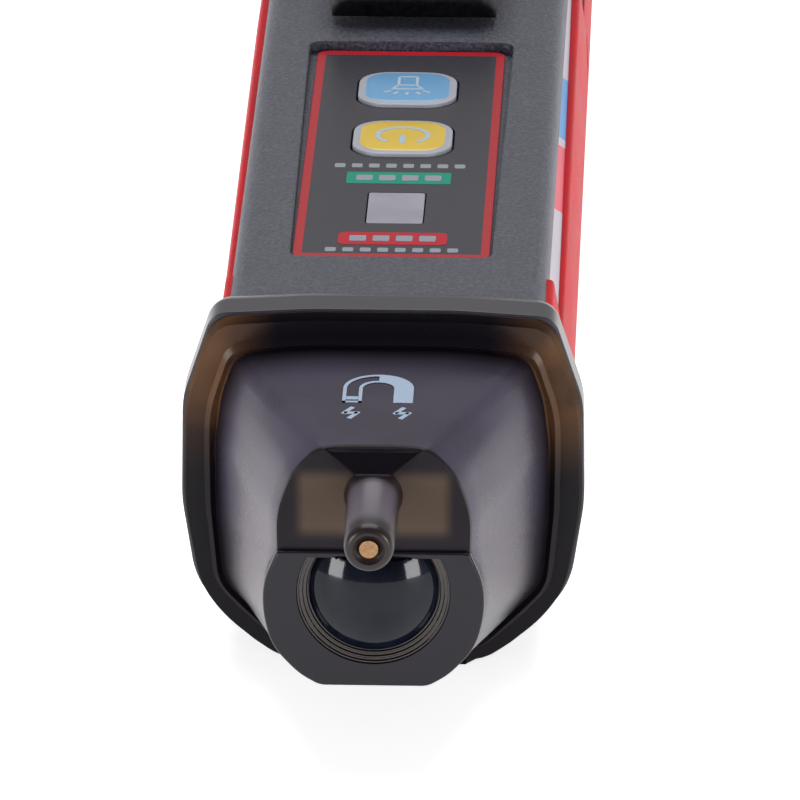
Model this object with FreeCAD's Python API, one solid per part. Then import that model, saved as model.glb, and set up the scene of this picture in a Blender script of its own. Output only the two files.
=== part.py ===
import FreeCAD, Part
import math
import os

Vector = FreeCAD.Vector

# A pen-type non-contact voltage tester, lying on its flat base. Millimetres, +Z up, nose towards -Y.
# A station is a distance behind the collar's front rim, so the stations of the nose are negative.
# save() shifts each finished piece so that the origin is on the base, under the middle of the length.

# Overall sizes
PROBE_TIP = -27.6        # station of the probe's tip
NOSE_FRONT = -18.5       # station of the flat front of the nose
COLLAR_LAND = 2.4        # the collar keeps its full width up to here
FLARE_LENGTH = 6.8       # smooth collar band, which then narrows to the body
CELL_START = 74.0        # the keypad and the circuit board have the length in front of the cells
BODY_SLOPE = 2.5         # degrees, the keypad face falls towards the tail

# Walls and clearances
WALL = 1.5
TOP_WALL = 2.3           # wall under the keypad face, which carries the label's recess
CAP_WALL = 1.4
FIT = 0.1                # all round, between pieces that plug together
KEY_GAP = 0.15           # all round a key in its opening
JOINT_GAP = 0.15         # seam between the tail cap and its seal
SPLIT_HEIGHT = 4.6       # the lower housing is everything below this

# Two AAA cells side by side, which set the body's width, and their contacts
CELL_RADIUS = 5.25
CELL_LENGTH = 44.5
CELL_NUB_RADIUS = 1.9
CELL_NUB_LENGTH = 0.8
CELL_SPACING = 0.2       # between the two cells
CELL_SIDE_GAP = 0.15     # between a cell and the wall beside it
CELL_FIT = 0.15          # between a cell and the tongues that hold it
CELL_FLOOR = 2.45        # under the cells
CELL_INSIDE = 12.0       # length of a cell that stays in the housing when the cap is off
CONTACT_PLATE = 0.4
CONTACT_SPACE = 2.6      # room for the contact springs at each end
CONTACT_HALF_SIDE = 3.0
CONTACT_PAD_RADIUS = 3.8
SPRING_RADIUS = 2.6
SPRING_WIRE = 0.3
SPRING_TURNS = 3
BULKHEAD = 1.5
TONGUE_COVER = 1.85      # height of the upper tongue over the cells
TONGUE_WIDTH = 18.0
FLOOR_TONGUE_WIDTH = 9.0
CAP_END_WALL = 1.8
CELL_X = CELL_RADIUS + CELL_SPACING / 2
CELL_HEIGHT = CELL_FLOOR + CELL_RADIUS
SEAM = CELL_START + CELL_INSIDE    # station where the tail cap meets the housing
TAIL = CELL_START + CELL_LENGTH + CONTACT_SPACE + CONTACT_PLATE + CAP_END_WALL
TOTAL_LENGTH = TAIL - PROBE_TIP
BELLY = CELL_X + CELL_RADIUS + CELL_SIDE_GAP + WALL

# Cross sections: half widths and heights of the corners on one side, from the base up to the crowned top
RIM_CORNERS = [(7.0, 0.0), (12.6, 5.0), (13.6, 11.5), (13.5, 18.9), (11.5, 25.0), (5.0, 25.4)]
RIM_RADII = [3.0, 6.0, 10.0, 6.0, 1.6, 30.0]
BODY_CORNERS = [(8.9, 0.0), (BELLY - 0.5, 3.4), (BELLY, 8.5), (BELLY - 0.15, 12.5), (BELLY - 1.65, 23.3),
                (5.0, 23.4)]
BODY_RADII = [1.8, 3.0, 8.0, 8.0, 1.5, 30.0]

# Keypad face: the label's near edge, its tilt and the rows along it
LABEL_START = 15.6
LABEL_WIDTH = 13.5
LABEL_LENGTH = 46.0
LABEL_CORNER = 0.9
LABEL_FILM = 0.3
LABEL_TILT = 3.0         # degrees
LABEL_SINK = 0.15        # depth of the label's near edge below the face
TRENCH_NEAR = 0.15       # gap beside the label at its near end
TRENCH_FAR = 0.6         # gap beside the label at its far end
WINDOW_START = 7.4       # from the label's near edge
WINDOW_WIDTH = 3.9
WINDOW_LENGTH = 6.6
WINDOW_CORNER = 0.25
KEY_WIDTH = 7.0
KEY_LENGTH = 7.5
KEY_SPACING = 3.6
POWER_KEY_START = 22.0
LIGHT_KEY_START = POWER_KEY_START + KEY_LENGTH + KEY_SPACING
KEY_CORNER = 2.0
KEY_PROUD = 0.3
KEY_TRAVEL = 0.35
KEY_FLANGE = 0.5         # thickness and overhang of the flange that keeps a key in

# Side grips and side labels
GRIP_DEPTH = 0.7
GRIP_BULGE = 0.15
GRIP_LOW = 5.2
GRIP_HIGH = 13.6
GRIP_BLOCK_END = 12.6    # the front block climbs almost to the keypad face up to here
GRIP_EDGE = 2.0          # distance of the block's top below the keypad face
GRIP_END_GAP = 0.3       # from the ends of the grips to the seam
CAP_GRIP_END = 104.0     # the grips run on along the battery cap up to here
SIDE_RECESS = 0.3
SIDE_FILM = 0.18
SIDE_LABEL_GAP = 0.3     # between the grip and the side label
SIDE_SLANT = 3.0         # length and height of the slanted corners of both

# Nose: corners on one side, from the base up, at the ring's inner edge and at the flat front
BROW_HEIGHT = 15.45      # the torch's opening is cut off flat here
BROW_WALL = 0.35         # from there up to the step in the nose's front
RING_DEPTH = 1.5
RING_LIP = 0.35          # the collar's rim stands this far outside the nose
STEP_INSET = 0.3         # the facets start this far inside the ring
STEP_DEPTH = 0.3
RING_CORNERS = [(6.6, 1.3), (11.1, 5.9), (11.6, 12.5), (11.65, 18.4), (10.2, 22.9), (5.0, 23.4)]
RING_RADII = [1.2, 2.2, 8.0, 4.0, 0.8, 30.0]
FACET_BASE = [(6.6, 1.3), (7.8, 2.4), (9.3, 3.9), (11.1, 6.0), (11.5, 10.7), (11.6, 16.5), (11.2, 20.0),
              (10.2, 22.9), (5.0, 23.4)]
FACET_FRONT = [(3.6, 6.15), (4.95, 6.95), (6.9, 9.2), (7.35, 12.6), (6.35, BROW_HEIGHT + BROW_WALL),
               (6.4, 18.4), (5.35, 21.3), (3.6, 23.05), (1.9, 23.2)]
NOSE_WALL = 1.4

# Probe
PROBE_HEIGHT = 19.7
PROBE_ROOT_RADIUS = 1.75
PROBE_TIP_RADIUS = 1.5
ANTENNA_RADIUS = 0.62
ANTENNA_FIT = 0.05
ANTENNA_END = 7.5
ANTENNA_SET_BACK = 0.15
ANTENNA_SPRING_WIRE = 0.15
BEAK_LENGTH = 2.2
BEAK_WIDTH = 2.9

# Torch in the lower front of the nose
TORCH_HEIGHT = 12.85
TORCH_BLOCK = 0.4        # the lens housing stands this far in front of the upper face
BEZEL_RADIUS = 5.1
BEZEL_BAND = 1.1         # width of the ring round the lens
LENS_RADIUS = BEZEL_RADIUS - BEZEL_BAND
LENS_DOME = 2.3
LENS_FLANGE = 0.8
TORCH_TUBE_END = -9.4
REFLECTOR_LENGTH = 4.8
REFLECTOR_WALL = 0.5
REFLECTOR_THROAT = 1.6
EMITTER_SIDE = 3.4
EMITTER_HEIGHT = 0.8
TORCH_BOARD_THICKNESS = 0.8

# Circuit board and what it carries
BOARD_START = 5.0
BULKHEAD_START = CELL_START - CONTACT_SPACE - CONTACT_PLATE - BULKHEAD
BOARD_END = BULKHEAD_START - 6.5
BOARD_WIDTH = 17.2
BOARD_TOP = 16.4
BOARD_THICKNESS = 1.2
SWITCH_SIDE = 4.2
SWITCH_HEIGHT = 1.4
PLUNGER_RADIUS = 1.0
PLUNGER_PROUD = 0.4
STEM_RADIUS = 1.3
LED_SIZE = (1.6, 1.2, 0.8)
BUZZER_RADIUS = 4.5
BUZZER_HEIGHT = 3.0
BUZZER_STATION = 24.0
SENSOR_SIZE = (4.0, 3.0, 1.5)
CHIP_SIDE = 5.0
CHIP_HEIGHT = 1.2
CHIP_SET_BACK = 9.0      # from the board's front edge
SMALL_ROWS = 4           # rows of small components behind the buzzer
ROW_PITCH = 5.0
CAPACITOR_SIZE = (1.6, 0.8, 0.6)
RESISTOR_SIZE = (3.2, 2.0, 1.1)
COMPONENT_X = 2.4        # inner ends of the small components
WARNING_RADIUS = 1.5
WARNING_X = 4.5
WARNING_LENGTH = 4.2
WARNING_PROUD = 1.0      # the light overhangs the board's front edge by this

# Screws that hold the two housings together
SCREW_X = 6.2
SCREW_STATIONS = [BOARD_START + 6.0, BOARD_END - 2.5]
SCREW_RADIUS = 0.95
SCREW_HEAD_RADIUS = 1.8
SCREW_HEAD_HEIGHT = 1.3
SCREW_SLOT = 0.35        # half width of the cross recess, which is twice as long
SCREW_SEAT = 9.0
SCREW_TIP = 19.4
BOSS_RADIUS = 2.4
COUNTERBORE_RADIUS = 2.0

# Tail cap and pocket clip
SEAL_THICKNESS = 0.5
SEAL_INSET = 0.4
SEAL_WIDTH = 0.8
TAIL_ROUND = 3.0
TAIL_INSET = 2.0
CLIP_LENGTH = 46.5       # from the hinge to the tip
CLIP_HINGE = TAIL - 11.3
CLIP_TIP = CLIP_HINGE - CLIP_LENGTH
CLIP_WIDTH = 12.0
CLIP_THICKNESS = 1.6
CLIP_GAP = 2.1           # under the arm
CLIP_NIB_GAP = 0.45      # under the tip's nib
CLIP_NIB_LENGTH = 4.0
CLIP_BEAD_RADIUS = 1.5
CLIP_BEAD_LIFT = 0.4     # bead above the cap's face
TRUNNION_RADIUS = 0.8
TRUNNION_FIT = 0.05
TRUNNION_LENGTH = 1.0
CHEEK_THICKNESS = 1.4
CHEEK_GAP = 0.2
CHEEK_TOP_HALF = 2.6     # half length of a cheek at its top
CHEEK_FOOT_HALF = 5.1
CHEEK_SINK = 1.0         # its foot is this far inside the cap's wall
CHEEK_ROUND = 1.2
CLIP_BEND = 7.0          # the arm leaves the bead over this length
CLIP_CHAMFER = 1.0

SMALLEST_RADIUS = 0.3    # inside corners are never sharper
FLARE_STEPS = 4
FAR = 60.0               # longer than any cross size, for cutting tools


def body_top(station):
    """Height of the keypad face, which falls evenly towards the tail."""
    fall = math.tan(math.radians(BODY_SLOPE)) * (station - FLARE_LENGTH)
    return BODY_CORNERS[-1][1] - fall


def label_top(station):
    """Height of the label's surface."""
    start = body_top(LABEL_START) - LABEL_SINK
    return start - math.tan(math.radians(LABEL_TILT)) * (station - LABEL_START)


def unit(dx, dy):
    length = math.hypot(dx, dy)
    return dx / length, dy / length


def corner(before, here, after):
    """Directions along the two sides, their inward bisector and the sine of half the angle."""
    side_a = unit(before[0] - here[0], before[1] - here[1])
    side_b = unit(after[0] - here[0], after[1] - here[1])
    middle = unit(side_a[0] + side_b[0], side_a[1] + side_b[1])
    sine = abs(side_a[0] * middle[1] - side_a[1] * middle[0])
    return side_a, side_b, middle, sine


def neighbours(points):
    count = len(points)
    return [(points[i - 1], points[i], points[(i + 1) % count]) for i in range(count)]


def inset_points(points, distance):
    """An anticlockwise outline with every side moved inwards by the same distance."""
    moved = []
    for before, here, after in neighbours(points):
        along_a = unit(here[0] - before[0], here[1] - before[1])
        along_b = unit(after[0] - here[0], after[1] - here[1])
        scale = distance / (1.0 + along_a[0] * along_b[0] + along_a[1] * along_b[1])
        moved.append((here[0] - (along_a[1] + along_b[1]) * scale, here[1] + (along_a[0] + along_b[0]) * scale))
    return moved


def rounded_wire(points, radii, place):
    """A closed wire with an arc at each corner; place turns a flat point into a Vector."""
    stops = []
    for (before, here, after), radius in zip(neighbours(points), radii):
        side_a, side_b, middle, sine = corner(before, here, after)
        reach = radius * math.sqrt(1.0 - sine * sine) / sine
        depth = radius / sine - radius
        start = place(here[0] + side_a[0] * reach, here[1] + side_a[1] * reach)
        mid = place(here[0] + middle[0] * depth, here[1] + middle[1] * depth)
        end = place(here[0] + side_b[0] * reach, here[1] + side_b[1] * reach)
        stops.append((start, mid, end))
    edges = []
    for index, (start, mid, end) in enumerate(stops):
        edges.append(Part.LineSegment(stops[index - 1][2], start).toShape())
        edges.append(Part.Arc(start, mid, end).toShape())
    return Part.Wire(edges)


def polygon_wire(points, place):
    vectors = [place(a, b) for a, b in points]
    return Part.makePolygon(vectors + vectors[:1])


def mirrored(side):
    """The full outline from the corners on the +X side, anticlockwise."""
    return side + [(-x, z) for x, z in reversed(side)]


def across(station):
    """Places a flat point in the cross section at a station."""
    return lambda x, z: Vector(x, station, z)


def sideways(x):
    """Places a flat (station, height) point in the side view."""
    return lambda station, z: Vector(x, station, z)


def flat(z):
    """Places a flat (x, station) point in the plan view."""
    return lambda x, station: Vector(x, station, z)


def rectangle(half_width, start, end):
    return [(-half_width, start), (half_width, start), (half_width, end), (-half_width, end)]


def prism(wire, direction):
    return Part.Face(wire).extrude(direction)


def box(x0, x1, start, end, z0, z1):
    return Part.makeBox(x1 - x0, end - start, z1 - z0, Vector(x0, start, z0))


def rod(radius, start, end, x, z):
    """A cylinder along the tester."""
    return Part.makeCylinder(radius, end - start, Vector(x, start, z), Vector(0, 1, 0))


def post(radius, z0, z1, x, station):
    """An upright cylinder."""
    return Part.makeCylinder(radius, z1 - z0, Vector(x, station, z0), Vector(0, 0, 1))


def cone(radius_a, radius_b, start, end, x, z):
    return Part.makeCone(radius_a, radius_b, end - start, Vector(x, start, z), Vector(0, 1, 0))


def upright(half_width, start, end, radius, z0, z1):
    """An upright block with rounded corners in plan."""
    wire = rounded_wire(rectangle(half_width, start, end), [radius] * 4, flat(z0))
    return prism(wire, Vector(0, 0, z1 - z0))


def section_corners(station, lowered=0.0):
    """Corners and radii of the cross section at a station; lowered drops the top, but not at the rim."""
    fall = body_top(FLARE_LENGTH) - body_top(max(station, FLARE_LENGTH)) + lowered
    body = BODY_CORNERS[:-2] + [(x, z - fall) for x, z in BODY_CORNERS[-2:]]
    share = (station - COLLAR_LAND) / (FLARE_LENGTH - COLLAR_LAND)
    blend = 0.5 + 0.5 * math.cos(math.pi * min(max(share, 0.0), 1.0))
    side = []
    radii = []
    for rim, shaft, rim_radius, shaft_radius in zip(RIM_CORNERS, body, RIM_RADII, BODY_RADII):
        side.append((shaft[0] + (rim[0] - shaft[0]) * blend, shaft[1] + (rim[1] - shaft[1]) * blend))
        radii.append(shaft_radius + (rim_radius - shaft_radius) * blend)
    return side, radii


def section(station, inset=0.0, lowered=0.0):
    """The closed cross section; inset moves every wall in and lowered drops the top as well."""
    side, radii = section_corners(station, lowered)
    points = inset_points(mirrored(side), inset)
    limited = [max(radius - inset, SMALLEST_RADIUS) for radius in radii]
    return rounded_wire(points, limited + limited[::-1], across(station))


def body_solid(start, end, inset=0.0, lowered=0.0):
    """A straight length of the body or the collar between two stations."""
    wires = [section(start, inset, lowered), section(end, inset, lowered)]
    return Part.makeLoft(wires, True, True)


def flare_solid(inset, lowered):
    """The collar where it narrows to the body, through evenly spaced sections."""
    step = (FLARE_LENGTH - COLLAR_LAND) / FLARE_STEPS
    wires = [section(COLLAR_LAND + step * i, inset, lowered) for i in range(FLARE_STEPS + 1)]
    return Part.makeLoft(wires, True, False)


def housing_room(inset, lowered):
    """Collar and body as one solid, with its walls moved in."""
    collar = body_solid(0.0, COLLAR_LAND, inset).fuse(flare_solid(inset, lowered))
    return collar.fuse(body_solid(FLARE_LENGTH, SEAM, inset, lowered))


def housing_shell():
    """Collar and body as one hollow shell, open at both ends."""
    return housing_room(0.0, 0.0).cut(housing_room(WALL, TOP_WALL - WALL))


def above(height):
    return box(-FAR, FAR, PROBE_TIP, TAIL, height, FAR)


def label_layer(low, high):
    """Everything between two heights over the label's surface."""
    layer = Part.makeBox(2 * FAR, 2 * TOTAL_LENGTH, high - low, Vector(-FAR, -TOTAL_LENGTH, low))
    layer.rotate(Vector(0, 0, 0), Vector(1, 0, 0), -LABEL_TILT)
    layer.translate(Vector(0, LABEL_START, label_top(LABEL_START)))
    return layer


def label_recess():
    """The recess of the front label: its trench widens and deepens towards the tail."""
    near = LABEL_WIDTH / 2 + TRENCH_NEAR
    far = LABEL_WIDTH / 2 + TRENCH_FAR
    start = LABEL_START - TRENCH_NEAR
    end = LABEL_START + LABEL_LENGTH + TRENCH_FAR
    points = [(-near, start), (near, start), (far, end), (-far, end)]
    wire = rounded_wire(points, [LABEL_CORNER] * 4, flat(0.0))
    return prism(wire, Vector(0, 0, FAR)).common(label_layer(-LABEL_FILM, FAR / 2))


def key_span(start):
    """Stations of a key's two ends."""
    return LABEL_START + start, LABEL_START + start + KEY_LENGTH


def key_block(start, grow, z0, z1):
    near, far = key_span(start)
    return upright(KEY_WIDTH / 2 + grow, near - grow, far + grow, KEY_CORNER + grow, z0, z1)


def window_block(grow, z0, z1):
    near = LABEL_START + WINDOW_START
    far = near + WINDOW_LENGTH
    return upright(WINDOW_WIDTH / 2 + grow, near - grow, far + grow, WINDOW_CORNER + grow, z0, z1)


def face_openings():
    """Tools for the openings of both keys and the window."""
    keys = key_block(POWER_KEY_START, KEY_GAP, 0, FAR).fuse(key_block(LIGHT_KEY_START, KEY_GAP, 0, FAR))
    return keys.fuse(window_block(FIT, 0, FAR)).common(above(BOARD_TOP))


def grip_outline():
    """Side view of a grip: a low band with a tall block beside the collar."""
    end = SEAM - GRIP_END_GAP
    start = FLARE_LENGTH + FIT
    block_top = body_top(start) - GRIP_EDGE
    return [(start, GRIP_LOW), (end, GRIP_LOW), (end, GRIP_HIGH), (GRIP_BLOCK_END + SIDE_SLANT, GRIP_HIGH),
            (GRIP_BLOCK_END, block_top - SIDE_SLANT), (GRIP_BLOCK_END, block_top), (start, block_top)]


def cap_grip_outline():
    """Side view of the grip's length on the battery cap."""
    start = seal_end() + JOINT_GAP + GRIP_END_GAP
    return [(start, GRIP_LOW), (CAP_GRIP_END, GRIP_LOW), (CAP_GRIP_END, GRIP_HIGH), (start, GRIP_HIGH)]


def side_label_outline():
    """Side view of a side label: a long strip above the grip, rounded at its front tip."""
    start = GRIP_BLOCK_END + SIDE_LABEL_GAP
    end = SEAM - GRIP_END_GAP
    low = GRIP_HIGH + SIDE_LABEL_GAP
    top_start = body_top(start) - GRIP_EDGE
    top_end = body_top(end) - GRIP_EDGE
    return [(start + SIDE_SLANT, low), (end, low), (end, top_end), (start, top_start),
            (start, top_start - SIDE_SLANT)]


def side_band(points, outer, inner):
    """Both sides' share of the layer between two depths below the body's surface, within an outline."""
    shoulder = TAIL - TAIL_ROUND
    layer = body_solid(FLARE_LENGTH, shoulder, outer).cut(body_solid(FLARE_LENGTH, shoulder, inner))
    tool = prism(polygon_wire(points, sideways(-FAR)), Vector(2 * FAR, 0, 0))
    return layer.common(tool)


def right_half(shape):
    return shape.common(box(0, FAR, PROBE_TIP, TAIL, -FAR, FAR))


def left_half(shape):
    return shape.common(box(-FAR, 0, PROBE_TIP, TAIL, -FAR, FAR))


def screw_places():
    return [(side * SCREW_X, station) for station in SCREW_STATIONS for side in (-1, 1)]


def upper_housing():
    shell = housing_shell().common(above(SPLIT_HEIGHT))
    inside = housing_room(0.0, 0.0).common(above(BOARD_TOP))
    for x, station in screw_places():
        shell = shell.fuse(post(BOSS_RADIUS, BOARD_TOP, FAR, x, station).common(inside))
    shell = shell.cut(label_recess()).cut(face_openings())
    shell = shell.cut(side_band(grip_outline(), -WALL, GRIP_DEPTH))
    shell = shell.cut(side_band(side_label_outline(), -WALL, SIDE_RECESS))
    for x, station in screw_places():
        shell = shell.cut(post(SCREW_RADIUS, BOARD_TOP, SCREW_TIP, x, station))
    return shell


def lower_housing():
    shell = housing_shell().cut(above(SPLIT_HEIGHT))
    floor = WALL / 2
    under_board = BOARD_TOP - BOARD_THICKNESS
    for x, station in screw_places():
        shell = shell.fuse(post(BOSS_RADIUS + FIT, floor, under_board, x, station))
    for x, station in screw_places():
        shell = shell.cut(post(COUNTERBORE_RADIUS, 0, SCREW_SEAT, x, station))
        shell = shell.cut(post(SCREW_RADIUS + FIT, SCREW_SEAT, under_board, x, station))
    return shell


def side_grips():
    return side_band(grip_outline(), -GRIP_BULGE, GRIP_DEPTH)


def cap_grips():
    return side_band(cap_grip_outline(), -GRIP_BULGE, GRIP_DEPTH)


def side_labels():
    return side_band(side_label_outline(), SIDE_RECESS - SIDE_FILM, SIDE_RECESS)


def front_label():
    film = upright(LABEL_WIDTH / 2, LABEL_START, LABEL_START + LABEL_LENGTH, LABEL_CORNER, 0, FAR)
    return film.common(label_layer(-LABEL_FILM, 0)).cut(face_openings())


def inner_top(station):
    """Height of the ceiling inside the housing."""
    return body_top(station) - TOP_WALL


def key(start):
    """A key cap with its retaining flange inside the housing and its stem above the switch."""
    near, far = key_span(start)
    middle = (near + far) / 2
    ceiling = inner_top(far + KEY_FLANGE) - FIT
    cap = key_block(start, 0, ceiling - KEY_FLANGE, FAR).common(label_layer(-FAR, KEY_PROUD))
    flange = key_block(start, KEY_GAP + KEY_FLANGE, ceiling - KEY_FLANGE, ceiling)
    stem = post(STEM_RADIUS, switch_top() + PLUNGER_PROUD, ceiling, 0, middle)
    return cap.fuse(flange).fuse(stem)


def switch_top():
    return BOARD_TOP + SWITCH_HEIGHT


def key_middle(start):
    return sum(key_span(start)) / 2


def switch_plunger(start):
    """The switch's own button, which sits in its body and meets the key's stem."""
    bottom = BOARD_TOP + SWITCH_HEIGHT / 2
    return post(PLUNGER_RADIUS, bottom, switch_top() + PLUNGER_PROUD, 0, key_middle(start))


def tact_switches():
    bodies = []
    for start in (POWER_KEY_START, LIGHT_KEY_START):
        middle = key_middle(start)
        half = SWITCH_SIDE / 2
        body = box(-half, half, middle - half, middle + half, BOARD_TOP, switch_top())
        floor = BOARD_TOP + SWITCH_HEIGHT / 2 - KEY_TRAVEL - FIT / 2
        bodies.append(body.cut(post(PLUNGER_RADIUS + FIT, floor, FAR, 0, middle)))
    return Part.makeCompound(bodies)


def indicator_window():
    """A light pipe from the label's surface down to just above the status lights."""
    foot = BOARD_TOP + LED_SIZE[2] + FIT
    return window_block(0, foot, FAR).common(label_layer(-FAR, 0))


def status_leds():
    """Three small lights in a row under the window."""
    middle = LABEL_START + WINDOW_START + WINDOW_LENGTH / 2
    pitch = WINDOW_LENGTH / 3
    width, length, height = LED_SIZE
    lights = []
    for step in (-1, 0, 1):
        start = middle + step * pitch - length / 2
        lights.append(box(-width / 2, width / 2, start, start + length, BOARD_TOP, BOARD_TOP + height))
    return Part.makeCompound(lights)


def circuit_board():
    half = BOARD_WIDTH / 2
    board = box(-half, half, BOARD_START, BOARD_END, BOARD_TOP - BOARD_THICKNESS, BOARD_TOP)
    for x, station in screw_places():
        board = board.cut(post(SCREW_RADIUS + FIT, 0, FAR, x, station))
    return board


def board_components():
    """Chips on top of the board and capacitors below it."""
    underside = BOARD_TOP - BOARD_THICKNESS
    half = CHIP_SIDE / 2
    near = BOARD_START + CHIP_SET_BACK
    parts = [box(-half, half, near, near + CHIP_SIDE, BOARD_TOP, BOARD_TOP + CHIP_HEIGHT)]
    for row in range(SMALL_ROWS):
        start = BUZZER_STATION + BUZZER_RADIUS + ROW_PITCH * (row + 1)
        width, length, height = CAPACITOR_SIZE
        parts.append(box(-COMPONENT_X - width, -COMPONENT_X, start, start + length, underside - height, underside))
        width, length, height = RESISTOR_SIZE
        parts.append(box(COMPONENT_X, COMPONENT_X + width, start, start + length, underside - height, underside))
    return Part.makeCompound(parts)


def buzzer():
    underside = BOARD_TOP - BOARD_THICKNESS
    body = post(BUZZER_RADIUS, underside - BUZZER_HEIGHT, underside, 0, BUZZER_STATION)
    port = post(BUZZER_RADIUS / 5, underside - BUZZER_HEIGHT, underside - BUZZER_HEIGHT / 2, 0, BUZZER_STATION)
    return body.cut(port)


def magnet_sensor():
    """The magnetic field sensor at the board's front edge."""
    width, length, height = SENSOR_SIZE
    start = BOARD_START + FIT
    left = -BOARD_WIDTH / 2 + FIT
    return box(left, left + width, start, start + length, BOARD_TOP, BOARD_TOP + height)


def warning_led():
    """A round red light that makes the nose glow, set beside the antenna."""
    z = BOARD_TOP + WARNING_RADIUS + FIT
    start = BOARD_START - WARNING_PROUD
    body = rod(WARNING_RADIUS, start, start + WARNING_LENGTH, WARNING_X, z)
    dome = Part.makeSphere(WARNING_RADIUS, Vector(WARNING_X, start, z))
    return body.fuse(dome)


def loft_sides(points_a, station_a, points_b, station_b):
    wires = [polygon_wire(points_a, across(station_a)), polygon_wire(points_b, across(station_b))]
    return Part.makeLoft(wires, True, True)


def nose_ring(inset=0.0):
    """The bevel between the collar's rim and the ring's inner edge."""
    side, radii = section_corners(0.0)
    outer = inset_points(mirrored(side), RING_LIP + inset)
    inner = inset_points(mirrored(RING_CORNERS), inset)
    tight = [radius - RING_LIP for radius in radii]
    wires = [rounded_wire(outer, tight + tight[::-1], across(0.0)),
             rounded_wire(inner, RING_RADII + RING_RADII[::-1], across(-RING_DEPTH))]
    return Part.makeLoft(wires, True, True)


def nose_facets(inset, start, end):
    base = inset_points(mirrored(FACET_BASE), inset + STEP_INSET)
    front = inset_points(mirrored(FACET_FRONT), inset)
    return loft_sides(base, start, front, end)


def torch_block():
    """The lens housing: the lower half of the front, carried slightly forwards."""
    lower = [point for point in FACET_FRONT if point[1] < BROW_HEIGHT + BROW_WALL + FIT]
    wire = polygon_wire(mirrored(lower), across(NOSE_FRONT - TORCH_BLOCK))
    return prism(wire, Vector(0, TORCH_BLOCK + NOSE_WALL, 0))


def beak():
    """A small gusset between the top edge of the front and the root of the probe."""
    top = FACET_FRONT[-1][1]
    points = [(NOSE_FRONT, top), (NOSE_FRONT - BEAK_LENGTH, PROBE_HEIGHT + PROBE_TIP_RADIUS / 2),
              (NOSE_FRONT, PROBE_HEIGHT)]
    return prism(polygon_wire(points, sideways(-BEAK_WIDTH / 2)), Vector(BEAK_WIDTH, 0, 0))


def brow_cut(radius, start, end):
    """A round bar along the torch's axis, cut off flat under the brow."""
    return rod(radius, start, end, 0, TORCH_HEIGHT).cut(above(BROW_HEIGHT))


def nose_cap():
    inner_front = NOSE_FRONT + NOSE_WALL
    skirt = body_solid(0.0, COLLAR_LAND, WALL + FIT)
    skirt_hollow = body_solid(0.0, COLLAR_LAND, WALL + FIT + NOSE_WALL)
    cap = skirt.fuse(nose_ring()).fuse(nose_facets(0.0, -RING_DEPTH + STEP_DEPTH, NOSE_FRONT)).fuse(torch_block())
    hollow = nose_facets(NOSE_WALL, -RING_DEPTH + STEP_DEPTH, inner_front)
    mouth = loft_sides(inset_points(mirrored(FACET_BASE), NOSE_WALL + STEP_INSET), -RING_DEPTH + STEP_DEPTH,
                       inset_points(mirrored(FACET_BASE), NOSE_WALL + STEP_INSET), COLLAR_LAND)
    cap = cap.cut(hollow).cut(skirt_hollow.common(mouth)).cut(mouth.common(box(-FAR, FAR, -RING_DEPTH, 0, 0, FAR)))
    tube = rod(BEZEL_RADIUS + NOSE_WALL / 2, inner_front - FIT, TORCH_TUBE_END, 0, TORCH_HEIGHT)
    tube = tube.common(nose_facets(0.0, -RING_DEPTH + STEP_DEPTH, NOSE_FRONT))
    sleeve = cone(PROBE_TIP_RADIUS, PROBE_ROOT_RADIUS, PROBE_TIP, NOSE_FRONT + NOSE_WALL / 2, 0, PROBE_HEIGHT)
    root = rod(PROBE_ROOT_RADIUS, NOSE_FRONT + NOSE_WALL / 2, TORCH_TUBE_END, 0, PROBE_HEIGHT)
    cap = cap.fuse(tube).fuse(sleeve).fuse(root).fuse(beak())
    cap = cap.cut(brow_cut(BEZEL_RADIUS, NOSE_FRONT - TORCH_BLOCK, inner_front))
    cap = cap.cut(rod(BEZEL_RADIUS, inner_front, TORCH_TUBE_END, 0, TORCH_HEIGHT))
    return cap.cut(rod(ANTENNA_RADIUS + ANTENNA_FIT, PROBE_TIP, TORCH_TUBE_END, 0, PROBE_HEIGHT))


def probe_antenna():
    """The copper pin, from just inside the probe's tip back to over the circuit board."""
    return rod(ANTENNA_RADIUS, PROBE_TIP + ANTENNA_SET_BACK, ANTENNA_END, 0, PROBE_HEIGHT)


def helix_spring(radius, wire, height, turns):
    """A coil spring standing on the origin along +Z, with its ends inside the height."""
    clear_height = height - 2 * wire
    path = Part.makeLongHelix(clear_height / turns, clear_height, radius)
    ring = Part.Wire(Part.makeCircle(wire, Vector(radius, 0, 0), Vector(0, 1, 0)))
    spring = Part.Wire(path).makePipeShell([ring], True, True)
    spring.translate(Vector(0, 0, wire))
    return spring


def antenna_spring():
    """The spring that joins the antenna to the circuit board."""
    height = PROBE_HEIGHT - ANTENNA_RADIUS - BOARD_TOP
    spring = helix_spring(ANTENNA_RADIUS, ANTENNA_SPRING_WIRE, height, SPRING_TURNS)
    spring.translate(Vector(0, BOARD_START + ANTENNA_RADIUS + FIT + ANTENNA_SPRING_WIRE, BOARD_TOP))
    return spring


def torch_bezel():
    """A stepped, shining ring round the lens, cut off flat under the brow."""
    front = NOSE_FRONT - TORCH_BLOCK
    back = NOSE_FRONT + NOSE_WALL - FIT
    step = BEZEL_BAND / 3
    middle = (front + back) / 2
    body = rod(BEZEL_RADIUS - FIT / 2, front + FIT, back, 0, TORCH_HEIGHT)
    body = body.cut(rod(LENS_RADIUS + FIT / 2, front, back, 0, TORCH_HEIGHT))
    body = body.cut(rod(BEZEL_RADIUS - step, front, (front + middle) / 2, 0, TORCH_HEIGHT))
    body = body.cut(rod(BEZEL_RADIUS - 2 * step, front, middle, 0, TORCH_HEIGHT))
    return body.cut(above(BROW_HEIGHT - FIT))


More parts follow.
